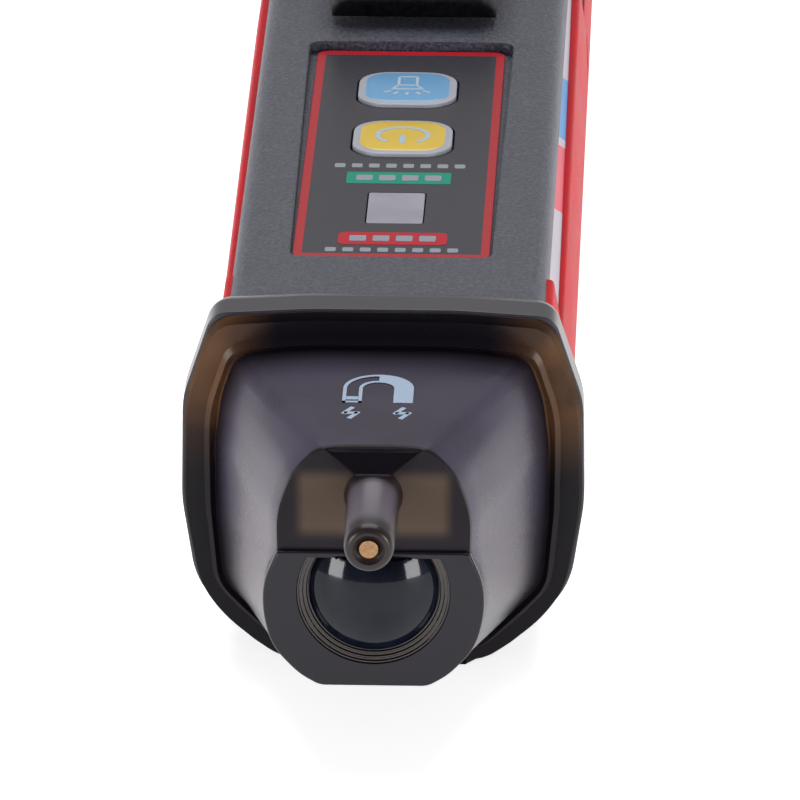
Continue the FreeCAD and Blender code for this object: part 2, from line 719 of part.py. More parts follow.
def torch_lens():
    """A domed lens with a flange behind the front wall."""
    base = NOSE_FRONT - TORCH_BLOCK / 2
    back = NOSE_FRONT + NOSE_WALL
    sphere_radius = (LENS_RADIUS ** 2 + LENS_DOME ** 2) / (2 * LENS_DOME)
    ball = Part.makeSphere(sphere_radius, Vector(0, base - LENS_DOME + sphere_radius, TORCH_HEIGHT))
    dome = ball.common(rod(LENS_RADIUS, base - LENS_DOME, base, 0, TORCH_HEIGHT))
    boss = dome.fuse(rod(LENS_RADIUS, base, back, 0, TORCH_HEIGHT)).cut(above(BROW_HEIGHT - FIT))
    return boss.fuse(rod(BEZEL_RADIUS - FIT, back, back + LENS_FLANGE, 0, TORCH_HEIGHT))


def torch_reflector():
    start = NOSE_FRONT + NOSE_WALL + LENS_FLANGE
    end = start + REFLECTOR_LENGTH
    wide = BEZEL_RADIUS - FIT
    outer = cone(wide, REFLECTOR_THROAT + REFLECTOR_WALL, start, end, 0, TORCH_HEIGHT)
    inner = cone(wide - REFLECTOR_WALL, REFLECTOR_THROAT, start, end, 0, TORCH_HEIGHT)
    return outer.cut(inner)


def torch_led():
    start = NOSE_FRONT + NOSE_WALL + LENS_FLANGE + REFLECTOR_LENGTH
    half = EMITTER_SIDE / 2
    base = box(-half, half, start, start + EMITTER_HEIGHT, TORCH_HEIGHT - half, TORCH_HEIGHT + half)
    lens = Part.makeSphere(REFLECTOR_THROAT - FIT, Vector(0, start, TORCH_HEIGHT))
    return base.fuse(lens.common(box(-FAR, FAR, start - FAR, start, -FAR, FAR)))


def torch_board():
    """The small board that carries the torch's light, across the end of the lens tube."""
    start = NOSE_FRONT + NOSE_WALL + LENS_FLANGE + REFLECTOR_LENGTH + EMITTER_HEIGHT
    return rod(BEZEL_RADIUS - FIT, start, start + TORCH_BOARD_THICKNESS, 0, TORCH_HEIGHT)


def cells_tool(radius, start, end):
    return rod(radius, start, end, -CELL_X, CELL_HEIGHT).fuse(rod(radius, start, end, CELL_X, CELL_HEIGHT))


def battery_cell(side, nub_first):
    """A cell whose raised end faces the nose or the tail."""
    x = side * CELL_X
    end = CELL_START + CELL_LENGTH
    if nub_first:
        can = rod(CELL_RADIUS, CELL_START + CELL_NUB_LENGTH, end, x, CELL_HEIGHT)
    else:
        can = rod(CELL_RADIUS, CELL_START, end - CELL_NUB_LENGTH, x, CELL_HEIGHT)
    return can.fuse(rod(CELL_NUB_RADIUS, CELL_START, end, x, CELL_HEIGHT))


def battery_carrier():
    """A bulkhead across the housing with an upper and a lower tongue that hold the cells."""
    front = BULKHEAD_START
    end = CELL_START + CELL_LENGTH
    tongue_top = CELL_HEIGHT + CELL_RADIUS + TONGUE_COVER
    tongue_floor = WALL + 2 * FIT
    room = body_solid(FLARE_LENGTH, SEAM, WALL + FIT, TOP_WALL - WALL)
    bulkhead = room.common(box(-FAR, FAR, front, front + BULKHEAD, 0, tongue_top))
    pad = rod(CONTACT_PAD_RADIUS, front, CELL_START - CONTACT_PLATE, -CELL_X, CELL_HEIGHT)
    half = TONGUE_WIDTH / 2
    upper = box(-half, half, front, end, CELL_HEIGHT + CELL_RADIUS / 2, tongue_top)
    half = FLOOR_TONGUE_WIDTH / 2
    lower = box(-half, half, front, end, tongue_floor, CELL_HEIGHT - CELL_RADIUS / 2)
    clear = cells_tool(CELL_RADIUS + CELL_FIT, front + BULKHEAD, end + FAR)
    return upper.fuse(lower).cut(clear).fuse(bulkhead).fuse(pad)


def contact_plate(left, right, start):
    """A flat plate that reaches the same distance round the cells' axes at left and right."""
    half = CONTACT_HALF_SIDE
    return box(left - half, right + half, start, start + CONTACT_PLATE, CELL_HEIGHT - half, CELL_HEIGHT + half)


def front_contacts():
    """Two plates: one on the bulkhead behind the spring, one on the pad at the other cell's nub."""
    places = [(-CELL_X, CELL_START - CONTACT_PLATE), (CELL_X, CELL_START - CONTACT_SPACE - CONTACT_PLATE)]
    return Part.makeCompound([contact_plate(x, x, start) for x, start in places])


def contact_spring(x, start, end):
    spring = helix_spring(SPRING_RADIUS, SPRING_WIRE, end - start, SPRING_TURNS)
    spring.rotate(Vector(0, 0, 0), Vector(1, 0, 0), -90)
    spring.translate(Vector(x, start, CELL_HEIGHT))
    return spring


def front_spring():
    return contact_spring(CELL_X, CELL_START - CONTACT_SPACE, CELL_START)


def tail_spring():
    end = CELL_START + CELL_LENGTH
    return contact_spring(-CELL_X, end, end + CONTACT_SPACE)


def tail_contact():
    """A plate that joins both cells in the cap, with a boss for the nub."""
    end = CELL_START + CELL_LENGTH
    plate = end + CONTACT_SPACE
    bridge = contact_plate(-CELL_X, CELL_X, plate)
    return bridge.fuse(rod(CELL_NUB_RADIUS, end, plate, CELL_X, CELL_HEIGHT))


def seal_end():
    return SEAM + SEAL_THICKNESS


def tail_seal():
    """A flat rubber ring between the housing's end and the cap."""
    outer = body_solid(SEAM, seal_end(), SEAL_INSET)
    return outer.cut(body_solid(SEAM, seal_end(), SEAL_INSET + SEAL_WIDTH))


def cap_shell():
    """The hollow cap with a rounded closed end."""
    start = seal_end() + JOINT_GAP
    shoulder = TAIL - TAIL_ROUND
    outer = body_solid(start, shoulder)
    stations = [shoulder, TAIL - TAIL_ROUND / 3, TAIL]
    insets = [0.0, TAIL_INSET / 4, TAIL_INSET]
    wires = [section(station, inset) for station, inset in zip(stations, insets)]
    rounded = Part.makeLoft(wires, True, True)
    floor = CELL_START + CELL_LENGTH + CONTACT_SPACE + CONTACT_PLATE
    return outer.fuse(rounded).cut(body_solid(start, floor, CAP_WALL))


def hinge_height():
    return body_top(CLIP_HINGE) + CLIP_BEAD_LIFT + CLIP_BEAD_RADIUS


def clip_cheeks():
    """Two ears on the cap that hold the clip's trunnions."""
    low = body_top(CLIP_HINGE + CHEEK_FOOT_HALF) - CHEEK_SINK
    top = hinge_height() + CLIP_BEAD_RADIUS
    points = [(CLIP_HINGE - CHEEK_FOOT_HALF, low), (CLIP_HINGE + CHEEK_FOOT_HALF, low),
              (CLIP_HINGE + CHEEK_TOP_HALF, top), (CLIP_HINGE - CHEEK_TOP_HALF, top)]
    radii = [SMALLEST_RADIUS, SMALLEST_RADIUS, CHEEK_ROUND, CHEEK_ROUND]
    wire = rounded_wire(points, radii, sideways(CLIP_WIDTH / 2 + CHEEK_GAP))
    ear = prism(wire, Vector(CHEEK_THICKNESS, 0, 0))
    return ear.fuse(ear.mirror(Vector(0, 0, 0), Vector(1, 0, 0)))


def trunnion(radius, reach):
    half = CLIP_WIDTH / 2 + reach
    return Part.makeCylinder(radius, 2 * half, Vector(-half, CLIP_HINGE, hinge_height()), Vector(1, 0, 0))


def tail_cap():
    cap = cap_shell().fuse(clip_cheeks()).cut(side_band(cap_grip_outline(), -WALL, GRIP_DEPTH))
    return cap.cut(trunnion(TRUNNION_RADIUS + TRUNNION_FIT, TRUNNION_LENGTH + FIT))


def clip_profile():
    """Side view of the clip: a springy arm with a nib under its tip."""
    thick = CLIP_THICKNESS
    bend = CLIP_HINGE - CLIP_BEND
    nose = CLIP_TIP + CLIP_CHAMFER
    shoulder = CLIP_TIP + CLIP_NIB_LENGTH
    under_tip = body_top(CLIP_TIP) + CLIP_NIB_GAP
    under_bend = body_top(bend) + CLIP_GAP
    under_shoulder = body_top(shoulder) + CLIP_GAP
    return [(CLIP_HINGE, hinge_height() - thick / 2), (CLIP_HINGE, hinge_height() + thick / 2),
            (bend, under_bend + thick), (nose, body_top(CLIP_TIP) + CLIP_GAP + thick),
            (CLIP_TIP, under_tip + thick), (nose, under_tip), (shoulder - CLIP_CHAMFER, under_tip),
            (shoulder + CLIP_CHAMFER, under_shoulder), (bend, under_bend)]


def pocket_clip():
    arm = prism(polygon_wire(clip_profile(), sideways(-CLIP_WIDTH / 2)), Vector(CLIP_WIDTH, 0, 0))
    plan = upright(CLIP_WIDTH / 2, CLIP_TIP, CLIP_HINGE + 2 * CLIP_BEAD_RADIUS, CLIP_BEAD_RADIUS, 0, FAR)
    bead = trunnion(CLIP_BEAD_RADIUS, 0.0)
    return arm.common(plan).fuse(bead).fuse(trunnion(TRUNNION_RADIUS, TRUNNION_LENGTH))


def housing_screws():
    screws = []
    wide = 2 * SCREW_SLOT
    slot_top = SCREW_SEAT - SCREW_HEAD_HEIGHT / 2
    for x, station in screw_places():
        head = post(SCREW_HEAD_RADIUS, SCREW_SEAT - SCREW_HEAD_HEIGHT, SCREW_SEAT, x, station)
        shank = post(SCREW_RADIUS - FIT / 2, SCREW_SEAT, SCREW_TIP - FIT, x, station)
        cross = box(x - SCREW_SLOT, x + SCREW_SLOT, station - wide, station + wide, 0, slot_top)
        other = box(x - wide, x + wide, station - SCREW_SLOT, station + SCREW_SLOT, 0, slot_top)
        screws.append(head.fuse(shank).cut(cross.fuse(other)))
    return Part.makeCompound(screws)


def save(name, shape):
    """Writes one piece, moved so that the origin is on the base under the middle of the length."""
    placed = shape.copy()
    placed.translate(Vector(0, -(PROBE_TIP + TAIL) / 2, 0))
    solids = placed.Solids
    whole = solids[0] if len(solids) == 1 else Part.makeCompound(solids)
    whole.exportStep("parts/" + name + ".step")
    print(name, len(solids), whole.isValid(), round(whole.Volume, 2))


os.makedirs("parts", exist_ok=True)
grips = side_grips()
rear_grips = cap_grips()
labels = side_labels()
save("upper_housing", upper_housing())
save("lower_housing", lower_housing())
save("side_grip_left", left_half(grips))
save("side_grip_right", right_half(grips))
save("cap_grip_left", left_half(rear_grips))
save("cap_grip_right", right_half(rear_grips))
save("side_label_left", left_half(labels))
save("side_label_right", right_half(labels))
save("front_label", front_label())
save("power_key", key(POWER_KEY_START))
save("light_key", key(LIGHT_KEY_START))
save("power_switch_plunger", switch_plunger(POWER_KEY_START))
save("light_switch_plunger", switch_plunger(LIGHT_KEY_START))
save("tact_switches", tact_switches())
save("indicator_window", indicator_window())
save("status_leds", status_leds())
save("circuit_board", circuit_board())
save("board_components", board_components())
save("buzzer", buzzer())
save("magnet_sensor", magnet_sensor())
save("warning_led", warning_led())
save("nose_cap", nose_cap())
save("probe_antenna", probe_antenna())
save("antenna_spring", antenna_spring())
save("torch_bezel", torch_bezel())
save("torch_lens", torch_lens())
save("torch_reflector", torch_reflector())
save("torch_led", torch_led())
save("torch_board", torch_board())
save("battery_carrier", battery_carrier())
save("cell_left", battery_cell(-1, True))
save("cell_right", battery_cell(1, False))
save("front_contacts", front_contacts())
save("front_spring", front_spring())
save("tail_spring", tail_spring())
save("tail_contact", tail_contact())
save("tail_seal", tail_seal())
save("tail_cap", tail_cap())
save("pocket_clip", pocket_clip())
save("housing_screws", housing_screws())
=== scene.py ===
import math

import bpy
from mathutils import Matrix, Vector


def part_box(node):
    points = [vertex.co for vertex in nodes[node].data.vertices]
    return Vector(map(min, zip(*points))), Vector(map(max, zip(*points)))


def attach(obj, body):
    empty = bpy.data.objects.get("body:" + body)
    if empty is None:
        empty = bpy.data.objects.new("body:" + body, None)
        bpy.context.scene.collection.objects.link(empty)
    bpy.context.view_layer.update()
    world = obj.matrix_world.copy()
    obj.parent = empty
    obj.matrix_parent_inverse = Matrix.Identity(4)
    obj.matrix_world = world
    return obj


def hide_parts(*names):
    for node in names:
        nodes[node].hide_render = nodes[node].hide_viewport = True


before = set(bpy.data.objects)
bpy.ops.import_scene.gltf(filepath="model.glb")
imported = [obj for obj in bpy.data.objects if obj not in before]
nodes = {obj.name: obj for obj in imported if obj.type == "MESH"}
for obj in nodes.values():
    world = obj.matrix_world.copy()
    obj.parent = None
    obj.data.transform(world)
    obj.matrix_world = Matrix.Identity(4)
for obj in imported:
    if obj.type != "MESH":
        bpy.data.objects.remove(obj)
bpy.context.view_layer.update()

# The looks of a pen-type voltage tester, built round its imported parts. Metres, nose towards -Y.
# A station is a distance behind the collar's front rim, in millimetres.

mm = 0.001
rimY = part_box("upper_housing")[0].y


def at(station):
    return rimY + station * mm


# shader helpers

class Socket:
    # one node output; arithmetic on it adds Math nodes

    def __init__(self, finish, output):
        self.finish = finish
        self.output = output

    def calc(self, operation, first, second):
        return self.finish.add("ShaderNodeMath", {"operation": operation}, {0: first, 1: second})

    def __add__(self, other):
        return self.calc("ADD", self, other)

    def __radd__(self, other):
        return self.calc("ADD", other, self)

    def __sub__(self, other):
        return self.calc("SUBTRACT", self, other)

    def __rsub__(self, other):
        return self.calc("SUBTRACT", other, self)

    def __mul__(self, other):
        return self.calc("MULTIPLY", self, other)

    def __rmul__(self, other):
        return self.calc("MULTIPLY", other, self)

    def __abs__(self):
        return self.calc("ABSOLUTE", self, 0)

    def smaller(self, other):
        return self.calc("MINIMUM", self, other)

    def rise(self, start, end):
        # 0 up to start, 1 from end on, smooth between them
        return self.finish.add("ShaderNodeMapRange", {"interpolation_type": "SMOOTHSTEP"},
                               {"Value": self, "From Min": start, "From Max": end})

    def between(self, start, end, soft):
        return self.rise(start - soft, start + soft) * (1 - self.rise(end - soft, end + soft))


class Finish:
    # a material with one Principled shader, its colour, gloss and relief worked out by nodes

    def __init__(self, name, settings):
        self.material = bpy.data.materials.new(name)
        self.material.use_nodes = True
        self.tree = self.material.node_tree
        self.shader = self.tree.nodes["Principled BSDF"]
        for socket, value in settings.items():
            self.shader.inputs[socket].default_value = value
        self.place = self.add("ShaderNodeTexCoord", {}, {}, "Object")
        axes = self.tree.nodes.new("ShaderNodeSeparateXYZ")
        self.join(self.place, axes.inputs[0])
        self.x, self.y, self.z = [Socket(self, output) for output in axes.outputs]
        self.height = None

    def join(self, value, target):
        if isinstance(value, Socket):
            self.tree.links.new(value.output, target)
        else:
            target.default_value = value

    def add(self, kind, settings, inputs, output=0):
        node = self.tree.nodes.new(kind)
        for name, value in settings.items():
            setattr(node, name, value)
        for name, value in inputs.items():
            self.join(value, node.inputs[name])
        return Socket(self, node.outputs[output])

    def noise(self, size, detail=2.0):
        return self.add("ShaderNodeTexNoise", {}, {"Vector": self.place, "Scale": 1 / size, "Detail": detail})

    def mix(self, factor, first, second):
        # colours blend here; sockets 6 and 7 are the Mix node's colour pair
        return self.add("ShaderNodeMix", {"data_type": "RGBA"}, {0: factor, 6: first, 7: second}, 2)

    def edges(self, radius):
        return self.add("ShaderNodeBevel", {"samples": 6}, {"Radius": radius})

    def finished(self, colour, roughness, height=None, relief=0.0, edge=0.0):
        # relief is the depth of the grain in metres, edge the radius that sharp edges are softened by
        self.join(colour, self.shader.inputs["Base Color"])
        self.join(roughness, self.shader.inputs["Roughness"])
        normal = self.edges(edge) if edge else None
        if height is not None:
            inputs = {"Height": height, "Strength": 1.0, "Distance": relief}
            if normal:
                inputs["Normal"] = normal
            normal = self.add("ShaderNodeBump", {}, inputs)
        if normal:
            self.join(normal, self.shader.inputs["Normal"])
        return self.material


def rgb(red, green, blue):
    # linear colour, from 0-255 display values
    return tuple((value / 255) ** 2.2 for value in (red, green, blue)) + (1.0,)


def moulded(name, look):
    # plastic, rubber or metal: two tones in fine flecks over slow clouds, uneven gloss, shallow grain
    finish = Finish(name, look.get("shader", {}))
    fleck = finish.noise(look["fleckSize"], 3.0).rise(0.35, 0.65)
    cloud = finish.noise(look["cloudSize"], 2.0).rise(0.3, 0.7)
    tone = fleck * look["fleckShare"] + cloud * (1 - look["fleckShare"])
    colour = finish.mix(tone, look["dark"], look["light"])
    roughness = look["rough"] + (cloud - 0.5) * look["uneven"] + (fleck - 0.5) * look["uneven"]
    return finish.finished(colour, roughness, fleck, look["relief"], look["edge"])


def wear(node, material):
    mesh = nodes[node].data
    mesh.materials.clear()
    mesh.materials.append(material)


# housing: sparkling grain behind a smooth collar band

housing = {
    "dark": rgb(40, 41, 50), "light": rgb(84, 86, 101), "band": rgb(48, 45, 51), "bandEnd": 6.8,
    "fleckSize": 0.26 * mm, "cloudSize": 4 * mm, "relief": 0.035 * mm, "rough": 0.5, "bandRough": 0.3,
    "edge": 0.25 * mm, "fleckRange": (0.38, 0.68), "sparkleSize": 0.6, "sparkleRange": (0.62, 0.72),
    "fleckShare": 0.6, "cloudShare": 0.3, "sparkleShare": 0.5, "bandSoft": 0.1, "uneven": 0.08,
    "sparkleHeight": 0.6, "bandGrain": 0.05,
}


def housingFinish(name, look):
    finish = Finish(name, {"Specular IOR Level": 0.5})
    soft = look["bandSoft"]
    band = 1 - finish.y.rise(at(look["bandEnd"] - soft), at(look["bandEnd"] + soft))
    fleck = finish.noise(look["fleckSize"], 3.0).rise(*look["fleckRange"])
    sparkle = finish.noise(look["fleckSize"] * look["sparkleSize"], 1.0).rise(*look["sparkleRange"])
    cloud = finish.noise(look["cloudSize"], 2.0)
    tone = fleck * look["fleckShare"] + cloud * look["cloudShare"] + sparkle * look["sparkleShare"]
    grained = finish.mix(tone, look["dark"], look["light"])
    colour = finish.mix(band, grained, look["band"])
    roughness = look["rough"] - band * (look["rough"] - look["bandRough"]) + (cloud - 0.5) * look["uneven"]
    height = (fleck + sparkle * look["sparkleHeight"]) * (1 - band) + band * cloud * look["bandGrain"]
    return finish.finished(colour, roughness, height, look["relief"], look["edge"])


wear("upper_housing", housingFinish("grainedGrey", housing))

blackShell = {
    "dark": rgb(22, 22, 24), "light": rgb(38, 38, 41), "fleckSize": 0.3 * mm, "cloudSize": 5 * mm,
    "fleckShare": 0.6, "rough": 0.45, "uneven": 0.08, "relief": 0.02 * mm, "edge": 0.25 * mm,
}
blackMaterial = moulded("grainedBlack", blackShell)
for part in ("lower_housing", "tail_cap"):
    wear(part, blackMaterial)
# the clip is a darker copy of the shell's black: its own black plastic, with painted shade for the shadow under it
clipShadedBlack = dict(blackShell, dark=rgb(9, 9, 11), light=rgb(20, 20, 23), fleckSize=0.5 * mm, rough=0.38,
                 relief=0.008 * mm, edge=0.6 * mm, shader={"Specular IOR Level": 0.35})
wear("pocket_clip", moulded("clipShadedBlack", clipShadedBlack))

# red soft grips

grip = {
    "dark": rgb(172, 12, 26), "light": rgb(196, 20, 34), "fleckSize": 0.15 * mm, "cloudSize": 6 * mm,
    "fleckShare": 0.5, "rough": 0.5, "uneven": 0.06, "relief": 0.02 * mm, "edge": 0.35 * mm,
    "shader": {"Specular IOR Level": 0.12},
}
gripMaterial = moulded("softRed", grip)
for part in ("side_grip_left", "side_grip_right", "cap_grip_left", "cap_grip_right"):
    wear(part, gripMaterial)

print("housing and grips finished")

# mesh helpers: every piece is started and shaped by operators

def startPiece(name, addPrimitive, **settings):
    bpy.ops.object.select_all(action="DESELECT")
    addPrimitive(**settings)
    piece = bpy.context.object
    piece.name = name
    return piece


def edit(piece):
    bpy.ops.object.select_all(action="DESELECT")
    bpy.context.view_layer.objects.active = piece
    piece.select_set(True)
    bpy.ops.object.mode_set(mode="EDIT")
    bpy.ops.mesh.select_mode(type="FACE")
    bpy.ops.mesh.select_all(action="DESELECT")
    bpy.ops.object.mode_set(mode="OBJECT")


def choose(piece, part, wanted):
    # selects the vertices, edges or faces that wanted(item) is true for, and goes into edit mode
    edit(piece)
    kind = {"vertices": "VERT", "edges": "EDGE", "polygons": "FACE"}[part]
    bpy.ops.object.mode_set(mode="EDIT")
    bpy.ops.mesh.select_mode(type=kind)
    bpy.ops.object.mode_set(mode="OBJECT")
    for item in getattr(piece.data, part):
        item.select = bool(wanted(item))
    bpy.ops.object.mode_set(mode="EDIT")


def leave():
    bpy.ops.object.mode_set(mode="OBJECT")


def modify(piece, kind, **settings):
    edit(piece)
    modifier = piece.modifiers.new(kind.lower(), kind)
    for name, value in settings.items():
        setattr(modifier, name, value)
    bpy.ops.object.modifier_apply(modifier=modifier.name)


def outward(piece):
    edit(piece)
    bpy.ops.object.mode_set(mode="EDIT")
    bpy.ops.mesh.select_all(action="SELECT")
    bpy.ops.mesh.remove_doubles(threshold=0.002 * mm)
    bpy.ops.mesh.normals_make_consistent(inside=False)
    leave()


def settle(piece, material, body, angle=35):
    # places the piece's shape in its mesh, smooths it and hangs it on its body
    edit(piece)
    bpy.ops.object.transform_apply(location=True, rotation=True, scale=True)
    bpy.ops.object.shade_smooth_by_angle(angle=math.radians(angle))
    if material:
        piece.data.materials.clear()
        piece.data.materials.append(material)
    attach(piece, body)
    return piece


def rounded(corners, radii, steps):
    # a closed outline in millimetres from the corners of its +X side, every corner turned into an arc
    points = corners + [(-x, z) for x, z in reversed(corners)]
    arcs = list(radii) + list(reversed(radii))
    made = []
    for i, here in enumerate(points):
        here = Vector(here)
        before = Vector(points[i - 1]) - here
        after = Vector(points[(i + 1) % len(points)]) - here
        half = before.angle(after) / 2
        reach = min(arcs[i] / math.tan(half), before.length * 0.48, after.length * 0.48)
        first = here + before.normalized() * reach
        last = here + after.normalized() * reach
        for step in range(steps):
            t = step / (steps - 1)
            made.append(first * (1 - t) ** 2 + here * 2 * t * (1 - t) + last * t ** 2)
    return made


def shrink(corners, distance):
    # corners moved towards the outline's middle by a distance in millimetres
    middle = Vector((0, sum(z for x, z in corners) / len(corners)))
    moved = []
    for corner in corners:
        arm = Vector(corner) - middle
        moved.append(tuple(middle + arm * (1 - distance / arm.length)))
    return moved


def skin(name, rings):
    # a shell grown ring by ring: the first ring is a circle, every next one is extruded from the last
    station, points = rings[0]
    piece = startPiece(name, bpy.ops.mesh.primitive_circle_add, vertices=len(points), radius=mm)
    order = {}
    for vertex, point in zip(piece.data.vertices, points):
        vertex.co = (point.x * mm, at(station), point.y * mm)
        order[vertex.index] = vertex.co.copy()
    for station, points in rings[1:]:
        choose(piece, "vertices", lambda vertex: vertex.index in order)
        bpy.ops.mesh.extrude_region_move()
        leave()
        grown = {}
        for vertex in piece.data.vertices:
            if vertex.select:
                nearest = min(order, key=lambda index: (order[index] - vertex.co).length)
                rank = sorted(order).index(nearest)
                grown[vertex.index] = rank
        order = {}
        for index, rank in grown.items():
            piece.data.vertices[index].co = (points[rank].x * mm, at(station), points[rank].y * mm)
            order[index] = piece.data.vertices[index].co.copy()
    return piece


def closeRing(piece, y):
    choose(piece, "vertices", lambda vertex: abs(vertex.co.y - y) < 0.001 * mm)
    bpy.ops.mesh.edge_face_add()
    leave()


# nose: smoked, glossy, browner where light comes through its edges

nose = {
    "smoke": rgb(25, 22, 27), "pale": rgb(67, 62, 76), "brown": rgb(92, 66, 46), "panel": rgb(78, 66, 56),
    "rough": 0.28, "cloudSize": 6 * mm, "wall": 1.2, "arcSteps": 7, "facetSteps": 7,
    "rimCorners": [(6.9, 0.15), (8.8, 1.5), (10.9, 3.3), (12.5, 5.6), (13.5, 11.5), (13.42, 15.2), (13.4, 18.85),
                   (11.4, 24.8), (5.0, 25.25)],
    "rimRadii": [6.0, 8.0, 10.0, 12.0, 20.0, 20.0, 12.0, 2.4, 30.0],
    "edgeCorners": [(6.6, 1.3), (8.0, 2.7), (9.5, 4.2), (11.1, 5.9), (11.6, 11.5), (11.65, 15.0), (11.65, 18.4),
                    (10.2, 22.9), (5.0, 23.4)],
    "edgeRadii": [3.0, 6.0, 6.0, 6.0, 16.0, 16.0, 10.0, 1.8, 30.0],
    "baseCorners": [(6.3, 1.7), (7.6, 2.8), (9.1, 4.2), (10.8, 6.1), (11.2, 10.7), (11.3, 16.4), (10.9, 19.8),
                    (9.9, 22.6), (5.0, 23.1)],
    "baseRadii": [3.0, 6.0, 6.0, 6.0, 12.0, 12.0, 10.0, 1.8, 30.0],
    "frontCorners": [(3.6, 6.15), (4.95, 6.95), (6.7, 9.0), (7.3, 12.6), (6.35, 15.8), (6.4, 18.4), (5.35, 21.3),
                     (3.6, 23.05), (1.9, 23.2)],
    "frontRadii": [1.6, 5.0, 6.0, 8.0, 0.6, 8.0, 7.0, 2.6, 20.0],
    "ringDepth": 1.5, "stepBack": 0.3, "front": -18.5, "collarDepth": 2.2, "rimInset": 1.4, "rimFront": -0.03,
    "rimEdge": -0.12,
    "blockCorners": [(3.6, 6.15), (4.95, 6.95), (6.75, 8.9), (7.35, 11.4), (7.3, 13.6), (6.35, 15.8)],
    "blockRadii": [1.6, 5.0, 6.0, 8.0, 6.0, 0.5], "blockOut": 0.4, "blockDepth": 1.6, "blockRim": 0.12,
    "torchHeight": 12.85, "bezelRadius": 5.1, "browHeight": 15.45,
    "fineSize": 0.8 * mm, "relief": 0.0006 * mm, "uneven": 0.05, "fineUneven": 0.03, "paleCloud": 0.25,
    "brownCloud": 0.6, "ringSoft": 0.05, "paleStart": -6, "paleEnd": -1, "faceFade": (0.2, 0.5),
    "paleHeights": (5 * mm, 16 * mm), "brownHeights": (13 * mm, 20 * mm), "brownSides": (7 * mm, 11 * mm),
    "paneSides": (1.4 * mm, 4.9 * mm, 0.5 * mm), "paneHeights": (17 * mm, 21.2 * mm, 0.6 * mm),
    "probeHeight": 19.7, "probeTip": -27.6, "probeRadii": (1.75, 1.66), "pinRadius": 0.6,
}


def noseFinish(name, look):
    finish = Finish(name, look["shader"])
    cloud = finish.noise(look["cloudSize"], 2.0)
    fine = finish.noise(look["fineSize"], 2.0)
    ring = finish.y.rise(at(-look["ringDepth"] - look["ringSoft"]), at(-look["ringDepth"] + look["ringSoft"]))
    # painted reflection of the lamps: the facets are paler in front of the ring and towards the top
    ahead = 1 - finish.y.rise(at(look["paleStart"]), at(look["paleEnd"]))
    paleCloud = (1 - look["paleCloud"]) + cloud.rise(0.3, 0.7) * look["paleCloud"]
    middle = ahead * paleCloud * finish.z.rise(*look["paleHeights"])
    body = finish.mix(middle, look["smoke"], look["pale"])
    # painted glow: brown at the upper sides, where light comes through the edges
    corners = finish.z.rise(*look["brownHeights"]) * abs(finish.x).rise(*look["brownSides"])
    brownCloud = (1 - look["brownCloud"]) + cloud.rise(0.35, 0.6) * look["brownCloud"]
    edge = finish.mix(corners * brownCloud, look["smoke"], look["brown"])
    # light comes through the thin front on both sides of the probe
    panes = abs(finish.x).between(*look["paneSides"]) * finish.z.between(*look["paneHeights"])
    fadeStart, fadeEnd = look["faceFade"]
    atFront = 1 - finish.y.rise(at(look["front"] + fadeStart), at(look["front"] + fadeEnd))
    face = finish.mix(atFront, body, finish.mix(panes, look["smoke"], look["panel"]))
    colour = finish.mix(ring, face, edge)
    roughness = look["rough"] + (cloud - 0.5) * look["uneven"] + (fine - 0.5) * look["fineUneven"]
    return finish.finished(colour, roughness, fine, look["relief"])


noseMaterial = noseFinish("smokedClear", dict(nose, shader={"Specular IOR Level": 0.11, "Coat Weight": 0.04,
                                                             "Coat Roughness": 0.12}))
# lighter copies of the smoked plastic: painted light on the flat front and on the lens housing
litFaceMaterial = noseFinish("smokedFaceLit", dict(nose, smoke=rgb(34, 30, 35), rough=0.3,
                                             shader={"Specular IOR Level": 0.12}))
litBlockMaterial = noseFinish("smokedBlockLit", dict(nose, smoke=rgb(34, 32, 38), rough=0.22,
                                               shader={"Specular IOR Level": 0.25}))


def noseRings(look):
    steps = look["arcSteps"]
    rim = rounded(look["rimCorners"], look["rimRadii"], steps)
    inner = rounded(shrink(look["rimCorners"], look["rimInset"]), look["rimRadii"], steps)
    edge = rounded(look["edgeCorners"], look["edgeRadii"], steps)
    base = rounded(look["baseCorners"], look["baseRadii"], steps)
    front = rounded(look["frontCorners"], look["frontRadii"], steps)
    start, end = -look["ringDepth"] + look["stepBack"], look["front"]
    rings = [(look["collarDepth"], inner), (look["rimFront"], inner), (look["rimFront"], rim),
             (look["rimEdge"], rim), (-look["ringDepth"], edge), (start, base)]
    for step in range(1, look["facetSteps"] + 1):
        t = step / look["facetSteps"]
        rings.append((start + (end - start) * t, [a.lerp(b, t) for a, b in zip(base, front)]))
    return rings


def torchCutter(look):
    # a round bar along the torch, cut off flat under the brow
    cutter = startPiece("torchCutter", bpy.ops.mesh.primitive_cylinder_add, vertices=96,
                        radius=look["bezelRadius"] * mm, depth=8 * mm, rotation=(math.pi / 2, 0, 0),
                        location=(0, at(look["front"]), look["torchHeight"] * mm))
    edit(cutter)
    bpy.ops.object.transform_apply(location=True, rotation=True, scale=True)
    bpy.ops.object.mode_set(mode="EDIT")
    bpy.ops.mesh.select_all(action="SELECT")
    bpy.ops.mesh.bisect(plane_co=(0, 0, look["browHeight"] * mm), plane_no=(0, 0, 1), use_fill=True,
                        clear_outer=True)
    leave()
    return cutter


noseShell = skin("noseShell", noseRings(nose))
closeRing(noseShell, at(nose["front"]))
outward(noseShell)
modify(noseShell, "BEVEL", width=0.14 * mm, segments=3, limit_method="ANGLE", angle_limit=math.radians(38),
       use_clamp_overlap=True)
modify(noseShell, "SOLIDIFY", thickness=nose["wall"] * mm, offset=-1)

